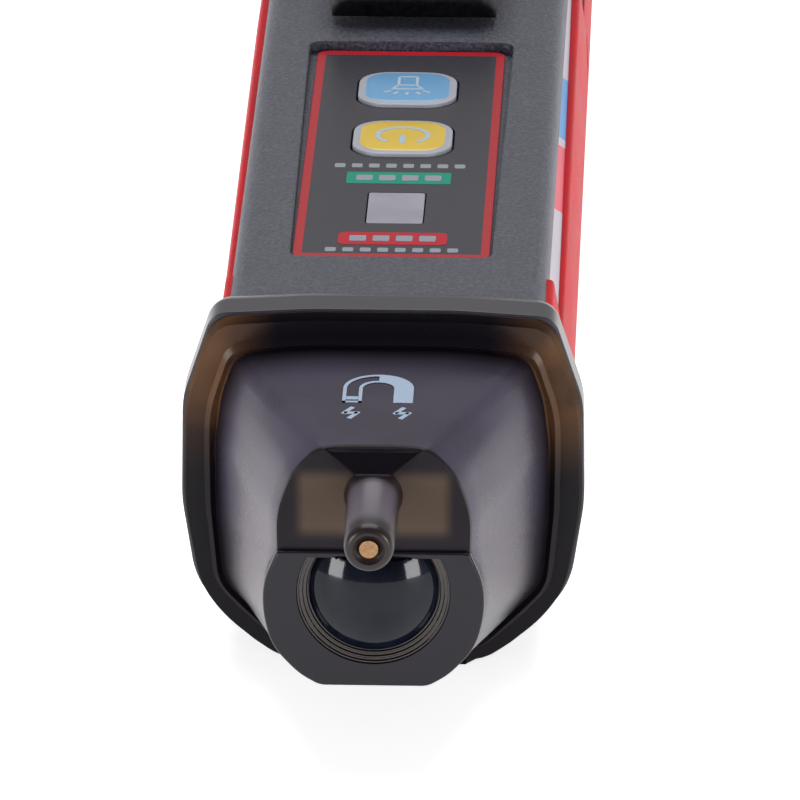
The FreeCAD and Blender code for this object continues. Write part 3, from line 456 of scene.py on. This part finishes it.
# the lens housing stands a little proud of the nose's front, with a softened rim
blockSteps = (
    (nose["blockDepth"], nose["blockCorners"]),
    (0.0, nose["blockCorners"]),
    (nose["blockRim"] - nose["blockOut"], nose["blockCorners"]),
    (-nose["blockOut"], shrink(nose["blockCorners"], nose["blockRim"])),
)
block = skin("noseBlock", [(nose["front"] + depth, rounded(corners, nose["blockRadii"], 6))
                           for depth, corners in blockSteps])
closeRing(block, at(nose["front"] + nose["blockDepth"]))
closeRing(block, at(nose["front"] - nose["blockOut"]))
outward(block)
modify(block, "BEVEL", width=0.22 * mm, segments=4, limit_method="ANGLE", angle_limit=math.radians(35))
noseShell.data.materials.append(noseMaterial)
noseShell.data.materials.append(litFaceMaterial)
choose(noseShell, "polygons", lambda face: face.normal.y < -0.9 and face.center.y < at(nose["front"] + 0.5))
noseShell.active_material_index = 1
bpy.ops.object.material_slot_assign()
leave()

cutter = torchCutter(nose)
for piece in (noseShell, block):
    modify(piece, "BOOLEAN", object=cutter, operation="DIFFERENCE", solver="EXACT")
bpy.data.objects.remove(cutter)
settle(noseShell, None, "body")
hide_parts("nose_cap")
settle(block, litBlockMaterial, "body")

# the probe's sleeve: a profile spun round its axis, its bore left open for the pin
root, tip = nose["probeRadii"]
tipEnd = nose["probeTip"]
bore = nose["pinRadius"]
sleeveProfile = [(-18.0, root + 0.25), (-18.5, root + 0.2), (-18.9, root), (tipEnd + 0.7, tip),
                 (tipEnd + 0.25, tip - 0.08), (tipEnd, tip - 0.32), (tipEnd, bore + 0.45),
                 (tipEnd + 0.3, bore + 0.2), (tipEnd + 0.4, bore), (-18.0, bore)]
sleeveLook = {
    "pale": rgb(88, 80, 90), "smoke": rgb(40, 33, 34), "rough": 0.3, "uneven": 0.08, "fineSize": 0.6 * mm,
    "relief": 0.004 * mm, "tipFade": (0.9, 2.6), "rootFade": (-20.5, -18.5), "topFade": (0.2, 1.4),
}


def sleeveFinish(name, look):
    # painted highlight: paler along the top of the sleeve's middle, dark at its tip, its root and below
    finish = Finish(name, {"Specular IOR Level": 0.3})
    fine = finish.noise(look["fineSize"], 2.0)
    tipStart, tipStop = look["tipFade"]
    rootStart, rootStop = look["rootFade"]
    low, high = look["topFade"]
    along = finish.y.rise(at(tipEnd + tipStart), at(tipEnd + tipStop)) * (
        1 - finish.y.rise(at(rootStart), at(rootStop)))
    upper = finish.z.rise((nose["probeHeight"] + low) * mm, (nose["probeHeight"] + high) * mm)
    colour = finish.mix(along * upper, look["smoke"], look["pale"])
    return finish.finished(colour, look["rough"] + (fine - 0.5) * look["uneven"], fine, look["relief"])


def turned(name, profile, height, segments=64):
    # a piece turned on a lathe: (station, radius) points spun round a level axis at that height
    piece = startPiece(name, bpy.ops.mesh.primitive_circle_add, vertices=len(profile), radius=mm)
    for vertex, (station, radius) in zip(piece.data.vertices, profile):
        vertex.co = (0, at(station), (height + radius) * mm)
    edit(piece)
    bpy.ops.object.mode_set(mode="EDIT")
    bpy.ops.mesh.select_all(action="SELECT")
    bpy.ops.mesh.spin(steps=segments, angle=2 * math.pi, center=(0, at(profile[0][0]), height * mm),
                      axis=(0, 1, 0))
    leave()
    outward(piece)
    return piece


sleeve = settle(turned("probeSleeve", sleeveProfile, nose["probeHeight"]), sleeveFinish("sleeveSmoke", sleeveLook),
                "body", 50)

# the beak: a wedge from the top edge down to the sleeve's root, narrow at its lower end
beak = {"top": 23.05, "low": 21.5, "topHalf": 3.3, "lowHalf": 1.15, "out": 1.0, "topOut": 0.05, "inside": 1.0,
        "crease": 0.18}

wedge = startPiece("noseBeak", bpy.ops.mesh.primitive_cube_add, size=2 * mm,
                   location=(0, at(nose["front"]), beak["low"] * mm))
edit(wedge)
bpy.ops.object.transform_apply(location=True, rotation=True, scale=True)
for vertex in wedge.data.vertices:
    upper, forward = vertex.co.z > beak["low"] * mm, vertex.co.y < at(nose["front"])
    half = beak["topHalf"] if upper else beak["lowHalf"]
    out = beak["topOut"] if upper else beak["out"]
    station = nose["front"] - out if forward else nose["front"] + beak["inside"]
    vertex.co = (math.copysign(half * mm, vertex.co.x), at(station), (beak["top"] if upper else beak["low"]) * mm)
choose(wedge, "polygons", lambda face: face.normal.y < -0.3)
bpy.ops.mesh.inset(thickness=beak["crease"] * mm, depth=-beak["crease"] * mm)
leave()
modify(wedge, "BEVEL", width=0.07 * mm, segments=3, limit_method="ANGLE", angle_limit=math.radians(25))
settle(wedge, noseMaterial, "body")

# torch: dark clear dome, ridged ring, mirror

lens = {"dark": rgb(12, 14, 22), "light": rgb(24, 29, 40), "fleckSize": 1.5 * mm, "cloudSize": 4 * mm,
        "fleckShare": 0.3, "rough": 0.1, "uneven": 0.03, "relief": 0.002 * mm, "edge": 0.0,
        "shader": {"Transmission Weight": 0.15, "IOR": 1.45, "Specular IOR Level": 0.12, "Coat Weight": 0.2,
                   "Coat Roughness": 0.05}}
lensMaterial = moulded("clearLens", lens)
wear("torch_lens", lensMaterial)
torch = {
    "lensRadius": 4.25, "dome": 1.7, "base": -18.4, "back": -17.1, "flange": 0.8, "flangeRadius": 5.0,
    "brow": 15.4, "ridges": 3, "bezelFront": -18.85, "bezelBack": -17.2,
}


def domeProfile(look, steps=14):
    # from the middle of the dome out to its rim, back along the boss and behind the flange
    ball = (look["lensRadius"] ** 2 + look["dome"] ** 2) / (2 * look["dome"])
    sweep = math.asin(look["lensRadius"] / ball)
    arc = [(look["base"] - look["dome"] + ball * (1 - math.cos(sweep * step / steps)),
            ball * math.sin(sweep * step / steps)) for step in range(steps + 1)]
    return arc + [(look["back"], look["lensRadius"]), (look["back"], look["flangeRadius"]),
                  (look["back"] + look["flange"], look["flangeRadius"]), (look["back"] + look["flange"], 0.0)]


def browTrim(piece, height):
    edit(piece)
    bpy.ops.object.mode_set(mode="EDIT")
    bpy.ops.mesh.select_all(action="SELECT")
    bpy.ops.mesh.bisect(plane_co=(0, 0, height * mm), plane_no=(0, 0, 1), use_fill=True, clear_outer=True)
    leave()


def ridgedProfile(look):
    # steps down from the outer edge to the lens, each with a raised lip
    outer, inner = nose["bezelRadius"] - 0.05, look["lensRadius"] + 0.06
    width = (outer - inner) / look["ridges"]
    points = []
    for ridge in range(look["ridges"]):
        radius = outer - ridge * width
        station = look["bezelFront"] + 0.1 + ridge * 0.22
        points += [(station, radius), (station, radius - width * 0.35), (station + 0.16, radius - width * 0.6),
                   (station + 0.18, radius - width)]
    return points + [(look["bezelBack"], inner), (look["bezelBack"], outer)]


dome = turned("lensDome", domeProfile(torch), nose["torchHeight"], 96)
browTrim(dome, torch["brow"])
settle(dome, lensMaterial, "body", 50)
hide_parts("torch_lens")

bezel = {"dark": rgb(26, 21, 20), "light": rgb(50, 42, 38), "fleckSize": 0.4 * mm, "cloudSize": 3 * mm,
         "fleckShare": 0.4, "rough": 0.12, "uneven": 0.06, "relief": 0.002 * mm, "edge": 0.0,
         "shader": {"Metallic": 0.3, "Coat Weight": 0.5, "Coat Roughness": 0.06}}
ridged = turned("ridgedBezel", ridgedProfile(torch), nose["torchHeight"], 96)
browTrim(ridged, torch["brow"])
settle(ridged, moulded("ridgedTrim", bezel), "body", 30)
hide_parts("torch_bezel")
mirror = dict(bezel, dark=rgb(120, 124, 130), light=rgb(150, 154, 160), rough=0.12, shader={"Metallic": 1.0})
wear("torch_reflector", moulded("mirrored", mirror))

copper = {"dark": rgb(128, 98, 70), "light": rgb(160, 126, 94), "fleckSize": 0.3 * mm, "cloudSize": 1 * mm,
          "fleckShare": 0.5, "rough": 0.3, "uneven": 0.15, "relief": 0.006 * mm, "edge": 0.05 * mm,
          "shader": {"Metallic": 0.9}}
wear("probe_antenna", moulded("copperPin", copper))

# raised edges of the grips: a shoulder just behind the collar, and a rail along the lower edge of the strip
gripEdges = {
    "shoulder": {"front": 7.0, "rear": 17.0, "slant": 2.5, "thick": 1.2, "round": 0.35,
                 "heights": (5.3, 12.5, 22.0), "faces": (12.3, 12.5, 11.2)},
    "rail": {"front": 14.0, "rear": 85.3, "slant": 0.2, "thick": 0.9, "round": 0.3,
             "heights": (12.8, 14.6, 16.6), "faces": (12.3, 12.05, 11.75)},
}


def gripPad(name, side, look):
    low, middle, high = look["heights"]
    pad = startPiece(name, bpy.ops.mesh.primitive_cube_add, size=2 * mm, location=(0, 0, middle * mm))
    edit(pad)
    bpy.ops.object.transform_apply(location=True, rotation=True, scale=True)
    bpy.ops.object.mode_set(mode="EDIT")
    bpy.ops.mesh.select_all(action="SELECT")
    bpy.ops.mesh.bisect(plane_co=(0, 0, middle * mm), plane_no=(0, 0, 1))
    leave()
    for vertex in pad.data.vertices:
        level = 1 + round((vertex.co.z / mm) - middle)
        face = look["faces"][level] - (0 if vertex.co.x > 0 else look["thick"])
        station = look["front"] if vertex.co.y < 0 else look["rear"] - look["slant"] * (level - 1)
        vertex.co = (side * face * mm, at(station), look["heights"][level] * mm)
    outward(pad)
    modify(pad, "BEVEL", width=look["round"] * mm, segments=4, limit_method="ANGLE", angle_limit=math.radians(30))
    settle(pad, gripMaterial, "body", 50)
    return pad


for kind, look in gripEdges.items():
    gripPad(kind + "Left", -1, look)
    gripPad(kind + "Right", 1, look)

print("nose finished")

# label, side strips and window

label = {
    "film": rgb(60, 58, 66), "filmDark": rgb(50, 48, 56), "border": rgb(172, 18, 34), "sideWidth": 0.6,
    "endWidth": 0.9, "soft": 0.03, "fleckSize": 0.2 * mm, "rough": 0.35, "uneven": 0.1, "relief": 0.01 * mm,
    "edge": 0.1 * mm,
}


def labelFinish(name, look):
    low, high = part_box("front_label")
    finish = Finish(name, {"Specular IOR Level": 0.2})
    soft, sides, ends = look["soft"], look["sideWidth"], look["endWidth"]
    inX = (high.x - abs(finish.x)).rise((sides - soft) * mm, (sides + soft) * mm)
    inY = (finish.y - low.y).smaller(high.y - finish.y).rise((ends - soft) * mm, (ends + soft) * mm)
    fleck = finish.noise(look["fleckSize"], 2.0)
    film = finish.mix(fleck.rise(0.3, 0.7), look["filmDark"], look["film"])
    colour = finish.mix(inX * inY, look["border"], film)
    roughness = look["rough"] + (fleck - 0.5) * look["uneven"]
    return finish.finished(colour, roughness, fleck, look["relief"], look["edge"])


wear("front_label", labelFinish("printedFilm", label))

window = {"dark": rgb(146, 145, 156), "light": rgb(158, 157, 168), "fleckSize": 0.3 * mm, "cloudSize": 4 * mm,
          "fleckShare": 0.05, "rough": 0.4, "uneven": 0.03, "relief": 0.0003 * mm, "edge": 0.1 * mm,
          "shader": {"Specular IOR Level": 0.15}}
wear("indicator_window", moulded("milkyWindow", window))

strip = {"pale": rgb(168, 162, 174), "blue": rgb(70, 130, 184), "pink": rgb(196, 70, 84), "rough": 0.45,
         "uneven": 0.1, "relief": 0.006 * mm, "cloudSize": 5 * mm, "edge": 0.05 * mm, "slant": 2.2,
         "soft": 0.1 * mm, "blueStart": 52.0, "blueEnd": 64.0, "pinkStart": 38.0, "pinkEnd": 50.5}


def stripFinish(name, look):
    low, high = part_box("side_label_right")
    finish = Finish(name, {"Specular IOR Level": 0.06})
    cloud = finish.noise(look["cloudSize"], 2.0)
    slanted = finish.y + (finish.z - (low.z + high.z) / 2) * look["slant"]
    blue = slanted.between(at(look["blueStart"]), at(look["blueEnd"]), look["soft"])
    pink = slanted.between(at(look["pinkStart"]), at(look["pinkEnd"]), look["soft"])
    colour = finish.mix(pink, finish.mix(blue, look["pale"], look["blue"]), look["pink"])
    roughness = look["rough"] + (cloud - 0.5) * look["uneven"]
    return finish.finished(colour, roughness, cloud, look["relief"], look["edge"])


stripMaterial = stripFinish("printedStrip", strip)
for part in ("side_label_left", "side_label_right"):
    wear(part, stripMaterial)

# keys: pale rim, raised coloured pad, printed sign

labelLow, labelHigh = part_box("front_label")
labelTilt = math.radians(3.0)
keyLook = {
    "width": 7.0, "length": 7.5, "corner": 2.3, "rim": 0.36, "proud": 0.22, "pad": 0.06, "depth": 1.1,
    "soften": 0.1, "padSoft": 0.25, "padRise": 0.05, "rough": 0.36, "uneven": 0.08, "fleckSize": 0.15 * mm,
    "cloudSize": 2 * mm, "fleckShare": 0.4, "relief": 0.003 * mm,
    "edge": rgb(168, 170, 180), "edgeDark": rgb(156, 160, 170), "hazeSize": 1.2 * mm, "edgeRelief": 0.002 * mm,
    "yellow": (rgb(206, 170, 30), rgb(218, 184, 44)), "blue": (rgb(88, 144, 190), rgb(102, 158, 202)),
    "sign": rgb(178, 196, 210), "powerStart": 22.0, "lightStart": 33.1,
}


def layOnLabel(piece, station, lift=0.0):
    # turns a piece that was made flat round the origin, and sets it on the label's slope
    edit(piece)
    piece.rotation_euler.x = -labelTilt
    piece.location = (0, labelLow.y + station * mm, labelHigh.z - math.tan(labelTilt) * station * mm + lift * mm)
    bpy.ops.object.transform_apply(location=True, rotation=True, scale=True)


def tile(name, width, length, corner, height, material):
    # a flat block with rounded corners, its top at z 0, made from a plane
    piece = startPiece(name, bpy.ops.mesh.primitive_plane_add, size=1)
    piece.scale = (width * mm, length * mm, 1)
    bpy.ops.object.transform_apply(scale=True)
    edit(piece)
    bpy.ops.object.mode_set(mode="EDIT")
    bpy.ops.mesh.select_all(action="SELECT")
    bpy.ops.mesh.bevel(offset=corner * mm, segments=8, affect="VERTICES")
    bpy.ops.mesh.select_all(action="SELECT")
    bpy.ops.mesh.extrude_region_move(TRANSFORM_OT_translate={"value": (0, 0, -height * mm)})
    leave()
    outward(piece)
    piece.data.materials.append(material)
    return piece


def keyCap(name, tones, station, body):
    finish = Finish(name + "Face", {"Coat Weight": 0.1})
    fleck = finish.noise(keyLook["fleckSize"], 2.0)
    cloud = finish.noise(keyLook["cloudSize"], 2.0)
    face = finish.mix(fleck * keyLook["fleckShare"] + cloud * (1 - keyLook["fleckShare"]), *tones)
    roughness = keyLook["rough"] + (cloud - 0.5) * keyLook["uneven"]
    padMaterial = finish.finished(face, roughness, fleck, keyLook["relief"])
    rim = Finish(name + "Rim", {})
    haze = rim.noise(keyLook["hazeSize"], 2.0)
    rimTone = rim.mix(haze, keyLook["edge"], keyLook["edgeDark"])
    rimMaterial = rim.finished(rimTone, keyLook["rough"], haze, keyLook["edgeRelief"])
    cap = tile(name, keyLook["width"], keyLook["length"], keyLook["corner"], keyLook["depth"] + keyLook["proud"],
               rimMaterial)
    cap.data.materials.append(padMaterial)
    choose(cap, "polygons", lambda face: face.normal.z > 0.9)
    bpy.ops.mesh.bevel(offset=keyLook["soften"] * mm, segments=3, affect="EDGES")
    leave()
    choose(cap, "polygons", lambda face: face.normal.z > 0.999 and face.area > 20 * mm * mm)
    bpy.ops.mesh.inset(thickness=keyLook["rim"] * mm)
    bpy.ops.mesh.inset(thickness=keyLook["pad"] * mm, depth=keyLook["pad"] * mm)
    cap.active_material_index = 1
    bpy.ops.object.material_slot_assign()
    bpy.ops.mesh.inset(thickness=keyLook["padSoft"] * mm, depth=keyLook["padRise"] * mm)
    leave()
    layOnLabel(cap, station + keyLook["length"] / 2, keyLook["proud"])
    settle(cap, None, body, 40)
    return cap


powerCap = keyCap("powerPad", keyLook["yellow"], keyLook["powerStart"], "power_button")
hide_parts("power_key")
lightCap = keyCap("lightPad", keyLook["blue"], keyLook["lightStart"], "light_button")
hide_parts("light_key")

# printed marks


def ink(name, tone, rough=0.45):
    finish = Finish(name, {"Specular IOR Level": 0.15})
    fleck = finish.noise(0.25 * mm, 2.0)
    darker = tuple(value * 0.82 for value in tone[:3]) + (1.0,)
    return finish.finished(finish.mix(fleck, darker, tone), rough + (fleck - 0.5) * 0.1, fleck, 0.002 * mm)


paleInk = ink("palePrint", rgb(150, 154, 166))
magnetInk = ink("magnetPrint", rgb(170, 188, 212))
signInk = ink("signPrint", keyLook["sign"])
redInk = ink("redPrint", rgb(186, 30, 46))
greenInk = ink("greenPrint", rgb(6, 146, 118))
markHeight = 0.03


def bar(width, length, x, y, corner=0.06, turn=0.0, material=None):
    # one flat printed stroke, made flat round the origin
    mark = tile("mark", width, length, corner, markHeight, material or paleInk)
    edit(mark)
    mark.rotation_euler.z = turn
    mark.location = (x * mm, y * mm, 0)
    bpy.ops.object.transform_apply(location=True, rotation=True, scale=True)
    return mark


def arcMark(outer, inner, start, end, x, y, material=None, segments=28):
    # a bent stroke: one short edge spun round its centre, then given its thickness
    mark = startPiece("mark", bpy.ops.mesh.primitive_plane_add, size=1)
    choose(mark, "vertices", lambda vertex: vertex.co.y > 0)
    bpy.ops.mesh.delete(type="VERT")
    leave()
    for vertex, radius in zip(mark.data.vertices, (inner, outer)):
        vertex.co = ((x + radius * math.cos(start)) * mm, (y + radius * math.sin(start)) * mm, 0)
    edit(mark)
    bpy.ops.object.mode_set(mode="EDIT")
    bpy.ops.mesh.select_all(action="SELECT")
    bpy.ops.mesh.spin(steps=segments, angle=end - start, center=(x * mm, y * mm, 0), axis=(0, 0, -1))
    bpy.ops.mesh.select_all(action="SELECT")
    bpy.ops.mesh.extrude_region_move(TRANSFORM_OT_translate={"value": (0, 0, -markHeight * mm)})
    leave()
    outward(mark)
    mark.data.materials.append(material or paleInk)
    return mark


def gather(name, marks):
    bpy.ops.object.select_all(action="DESELECT")
    for mark in marks:
        mark.select_set(True)
    bpy.context.view_layer.objects.active = marks[0]
    bpy.ops.object.join()
    marks[0].name = name
    return marks[0]


# signs on the keys; the power sign is open towards the nose
powerSign = gather("powerSign", [
    arcMark(1.95, 1.6, math.radians(-55), math.radians(235), 0, 0, signInk),
    bar(0.4, 1.7, 0, -0.85, 0.1, 0.0, signInk)])
keyMiddle = keyLook["length"] / 2
signLift = keyLook["proud"] + keyLook["pad"] + keyLook["padRise"] + markHeight
layOnLabel(powerSign, keyLook["powerStart"] + keyMiddle, signLift)
settle(powerSign, None, "power_button")

# rays below the torch sign: each a short stroke on a flat arc
rayLook = {"width": 0.22, "length": 0.6, "reach": (1.6, 0.9), "y": -0.75, "degrees": (-60, -30, 0, 30, 60)}
rays = [bar(rayLook["width"], rayLook["length"], math.sin(angle) * rayLook["reach"][0],
            rayLook["y"] - math.cos(angle) * rayLook["reach"][1], 0.06, angle, signInk)
        for angle in (math.radians(degrees) for degrees in rayLook["degrees"])]
# strokes of the torch sign: width, length, x, y, turn
torchLines = [(0.2, 1.9, -0.65, 1.3, 0.0), (0.2, 1.9, 0.65, 1.3, 0.0), (1.5, 0.2, 0.0, 2.2, 0.0),
              (1.5, 0.2, 0.0, 0.3, 0.0), (0.2, 0.9, -0.85, -0.15, -0.5), (0.2, 0.9, 0.85, -0.15, 0.5),
              (2.3, 0.22, 0.0, -0.6, 0.0)]
lightSign = gather("lightSign", [bar(width, length, x, y, 0.05, turn, signInk)
                                 for width, length, x, y, turn in torchLines] + rays)
layOnLabel(lightSign, keyLook["lightStart"] + keyMiddle, signLift)
settle(lightSign, None, "light_button")

# badges and plain rows of dashes in place of words
printed = {
    # station, width, length, corner and ink of the two badges
    "badges": [(4.1, 7.5, 2.6, 0.5, redInk), (17.2, 7.3, 2.5, 0.1, greenInk)],
    "badgeDash": (1.15, 1.15), "badgeDashes": (-2.4, -0.8, 0.8, 2.4),
    "rows": (1.7, 19.9), "rowDash": (0.75, 0.85), "rowDashes": (-4.2, -3.0, -1.8, -0.6, 0.6, 1.8, 3.0, 4.2),
    "dashCorner": 0.15, "lower": markHeight * 0.7, "upper": markHeight * 1.4,
}
labelMarks = []
for station, width, length, corner, material in printed["badges"]:
    badge = tile("badge", width, length, corner, markHeight, material)
    layOnLabel(badge, station, printed["lower"])
    stripes = gather("stripes", [bar(*printed["badgeDash"], x, 0, printed["dashCorner"])
                                 for x in printed["badgeDashes"]])
    layOnLabel(stripes, station, printed["upper"])
    labelMarks += [badge, stripes]
for station in printed["rows"]:
    row = gather("row", [bar(*printed["rowDash"], x, 0, printed["dashCorner"]) for x in printed["rowDashes"]])
    layOnLabel(row, station, printed["lower"])
    labelMarks.append(row)
labelPrint = settle(gather("labelPrint", labelMarks), None, "body")

# magnet sign and two sparks on the nose's top face: left half outlined, right half solid
magnet = {"width": 4.7, "band": 1.3, "line": 0.24, "top": -6.1, "ends": -10.9, "sparks": -12.7, "z": 23.2}
outerArc, innerArc = magnet["width"] / 2, magnet["width"] / 2 - magnet["band"]
arcStation = magnet["top"] - outerArc
legLength = arcStation - magnet["ends"]
legMiddle = (arcStation + magnet["ends"]) / 2
half = math.pi / 2
line = magnet["line"]
magnetMarks = [
    arcMark(outerArc, innerArc, 0, half, 0, arcStation, magnetInk),
    bar(magnet["band"], legLength, (outerArc + innerArc) / 2, legMiddle, 0.05, 0.0, magnetInk),
    arcMark(outerArc, outerArc - line, half, math.pi, 0, arcStation, magnetInk),
    arcMark(innerArc + line, innerArc, half, math.pi, 0, arcStation, magnetInk),
    bar(line, legLength, -outerArc + line / 2, legMiddle, 0.02, 0.0, magnetInk),
    bar(line, legLength, -innerArc - line / 2, legMiddle, 0.02, 0.0, magnetInk),
    bar(magnet["band"], line, -(outerArc + innerArc) / 2, magnet["ends"] + line / 2, 0.02, 0.0, magnetInk),
    bar(magnet["band"] * 0.6, 0.5, -(outerArc + innerArc) / 2, magnet["ends"] + 0.75, 0.05, 0.0, magnetInk),
]
for side in (-1, 1):
    middle = side * (outerArc + innerArc) / 2
    magnetMarks += [bar(0.32, 1.3, middle - 0.2, magnet["sparks"] + 0.4, 0.05, -0.5, magnetInk),
                    bar(0.32, 1.3, middle + 0.2, magnet["sparks"] - 0.4, 0.05, -0.5, magnetInk),
                    bar(0.9, 0.35, middle, magnet["sparks"], 0.05, 0.0, magnetInk)]
magnetSign = gather("magnetSign", magnetMarks)
edit(magnetSign)
magnetSign.location = (0, rimY, magnet["z"] * mm)
settle(magnetSign, None, "body")

print("label and keys finished")

# inner parts

plainParts = {
    # nodes, darker tone, lighter tone, roughness, metallic
    "boardGreen": (("circuit_board", "torch_board"), rgb(20, 84, 48), rgb(30, 108, 64), 0.35, 0.0),
    "componentBlack": (("board_components", "buzzer", "magnet_sensor"), rgb(20, 20, 22), rgb(40, 40, 44),
                       0.5, 0.0),
    "carrierBlack": (("battery_carrier",), rgb(26, 26, 28), rgb(40, 40, 42), 0.5, 0.0),
    "plungerBlack": (("power_switch_plunger", "light_switch_plunger"), rgb(24, 24, 26), rgb(44, 44, 46),
                     0.4, 0.0),
    "switchSteel": (("tact_switches",), rgb(150, 152, 156), rgb(196, 198, 202), 0.3, 0.9),
    "springSteel": (("antenna_spring", "front_spring", "tail_spring"), rgb(150, 152, 158), rgb(206, 208, 212),
                    0.25, 1.0),
    "contactPlate": (("front_contacts", "tail_contact"), rgb(176, 174, 166), rgb(214, 210, 200), 0.28, 1.0),
    "screwSteel": (("housing_screws",), rgb(120, 122, 126), rgb(170, 172, 176), 0.35, 1.0),
    "sealBlack": (("tail_seal",), rgb(16, 16, 17), rgb(30, 30, 31), 0.7, 0.0),
    "ledClear": (("status_leds", "torch_led"), rgb(220, 216, 190), rgb(240, 238, 224), 0.2, 0.0),
    "ledRed": (("warning_led",), rgb(170, 20, 24), rgb(210, 40, 40), 0.2, 0.0),
}
for name, (parts, dark, light, rough, metallic) in plainParts.items():
    material = moulded(name, {
        "dark": dark, "light": light, "fleckSize": 0.2 * mm, "cloudSize": 2 * mm, "fleckShare": 0.5,
        "rough": rough, "uneven": 0.08, "relief": 0.005 * mm, "edge": 0.08 * mm, "shader": {"Metallic": metallic}})
    for part in parts:
        wear(part, material)

cellLook = {
    "jacket": rgb(36, 38, 44), "band": rgb(176, 120, 60), "steel": rgb(186, 188, 192), "bandLength": 11.0,
    "endLength": 0.9, "soft": 0.1, "rough": 0.3, "uneven": 0.1, "fineSize": 0.6 * mm, "relief": 0.003 * mm,
}


def cellFinish(name, node, look):
    # bare steel at both ends, a dark jacket and a copper-coloured band at the front
    low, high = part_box(node)
    finish = Finish(name, {"Coat Weight": 0.2})
    fine = finish.noise(look["fineSize"], 2.0)
    fromEnd = (finish.y - low.y).smaller(high.y - finish.y)
    steel = 1 - fromEnd.rise(look["endLength"] * mm, (look["endLength"] + look["soft"]) * mm)
    band = 1 - (finish.y - low.y).rise(look["bandLength"] * mm, (look["bandLength"] + look["soft"]) * mm)
    jacket = finish.mix(band, look["jacket"], look["band"])
    colour = finish.mix(steel, jacket, look["steel"])
    return finish.finished(colour, look["rough"] + (fine - 0.5) * look["uneven"], fine, look["relief"])


for part in ("cell_left", "cell_right"):
    wear(part, cellFinish(part + "Jacket", part, cellLook))

print("inner parts finished")

# floor, light and camera

stage = {
    "floorSize": 6.0, "floorTones": (rgb(250, 250, 251), rgb(254, 254, 255)), "floorRough": 0.6,
    "floorGlow": 0.7, "floorCloud": 30 * mm, "floorUneven": 0.05,
    "worldBack": 0.55, "worldFront": 0.06, "worldTowards": (0, -0.5, 0.87), "worldFade": (0.1, 0.8),
    "lights": [
        # name, place, size, watts
        ("topBox", (0.0, 0.45, 1.15), 1.1, 13.0),
        ("leftBox", (-0.82, -0.77, 0.2), 0.36, 6.0),
        ("rightBox", (0.82, -0.77, 0.2), 0.36, 6.0),
    ],
    "azimuth": 1.86, "elevation": 22.6, "distance": 0.8, "lens": 520.2, "target": (0.5, 20.0, 10.52),
}

bpy.ops.object.select_all(action="DESELECT")
bpy.ops.mesh.primitive_plane_add(size=stage["floorSize"], location=(0, 0, 0))
floor = bpy.context.object
floor.name = "floor"
floorFinish = Finish("paleFloor", {"Emission Color": (1, 1, 1, 1), "Emission Strength": stage["floorGlow"]})
grainy = floorFinish.noise(stage["floorCloud"], 2.0)
floorTone = floorFinish.mix(grainy, *stage["floorTones"])
floorRoughness = stage["floorRough"] + grainy * stage["floorUneven"]
floor.data.materials.append(floorFinish.finished(floorTone, floorRoughness))

target = Vector((stage["target"][0] * mm, at(stage["target"][1]), stage["target"][2] * mm))
for name, place, size, watts in stage["lights"]:
    data = bpy.data.lights.new(name, "AREA")
    data.shape = "SQUARE"
    data.size = size
    data.energy = watts
    lamp = bpy.data.objects.new(name, data)
    bpy.context.scene.collection.objects.link(lamp)
    lamp.location = place
    lamp.rotation_euler = (Vector(place) - target).to_track_quat("Z", "Y").to_euler()

# the room is light behind the object and dark above the camera
world = bpy.data.worlds.new("studio")
world.use_nodes = True
air = world.node_tree
direction = air.nodes.new("ShaderNodeTexCoord")
facing = air.nodes.new("ShaderNodeVectorMath")
facing.operation = "DOT_PRODUCT"
facing.inputs[1].default_value = stage["worldTowards"]
air.links.new(direction.outputs["Generated"], facing.inputs[0])
fade = air.nodes.new("ShaderNodeMapRange")
fade.inputs["From Min"].default_value, fade.inputs["From Max"].default_value = stage["worldFade"]
fade.inputs["To Min"].default_value = stage["worldBack"]
fade.inputs["To Max"].default_value = stage["worldFront"]
air.links.new(facing.outputs["Value"], fade.inputs["Value"])
air.links.new(fade.outputs[0], air.nodes["Background"].inputs["Strength"])
air.nodes["Background"].inputs["Color"].default_value = (1, 1, 1, 1)
bpy.context.scene.world = world
bpy.context.scene.view_settings.view_transform = "Standard"

turn, lift = math.radians(stage["azimuth"]), math.radians(stage["elevation"])
back = Vector((math.sin(turn) * math.cos(lift), -math.cos(turn) * math.cos(lift), math.sin(lift)))
cameraData = bpy.data.cameras.new("camera")
cameraData.lens = stage["lens"]
cameraData.sensor_width = 36
camera = bpy.data.objects.new("camera", cameraData)
bpy.context.scene.collection.objects.link(camera)
camera.location = target + back * stage["distance"]
camera.rotation_euler = (-back).to_track_quat("-Z", "Y").to_euler()
bpy.context.scene.camera = camera

print("stage set")
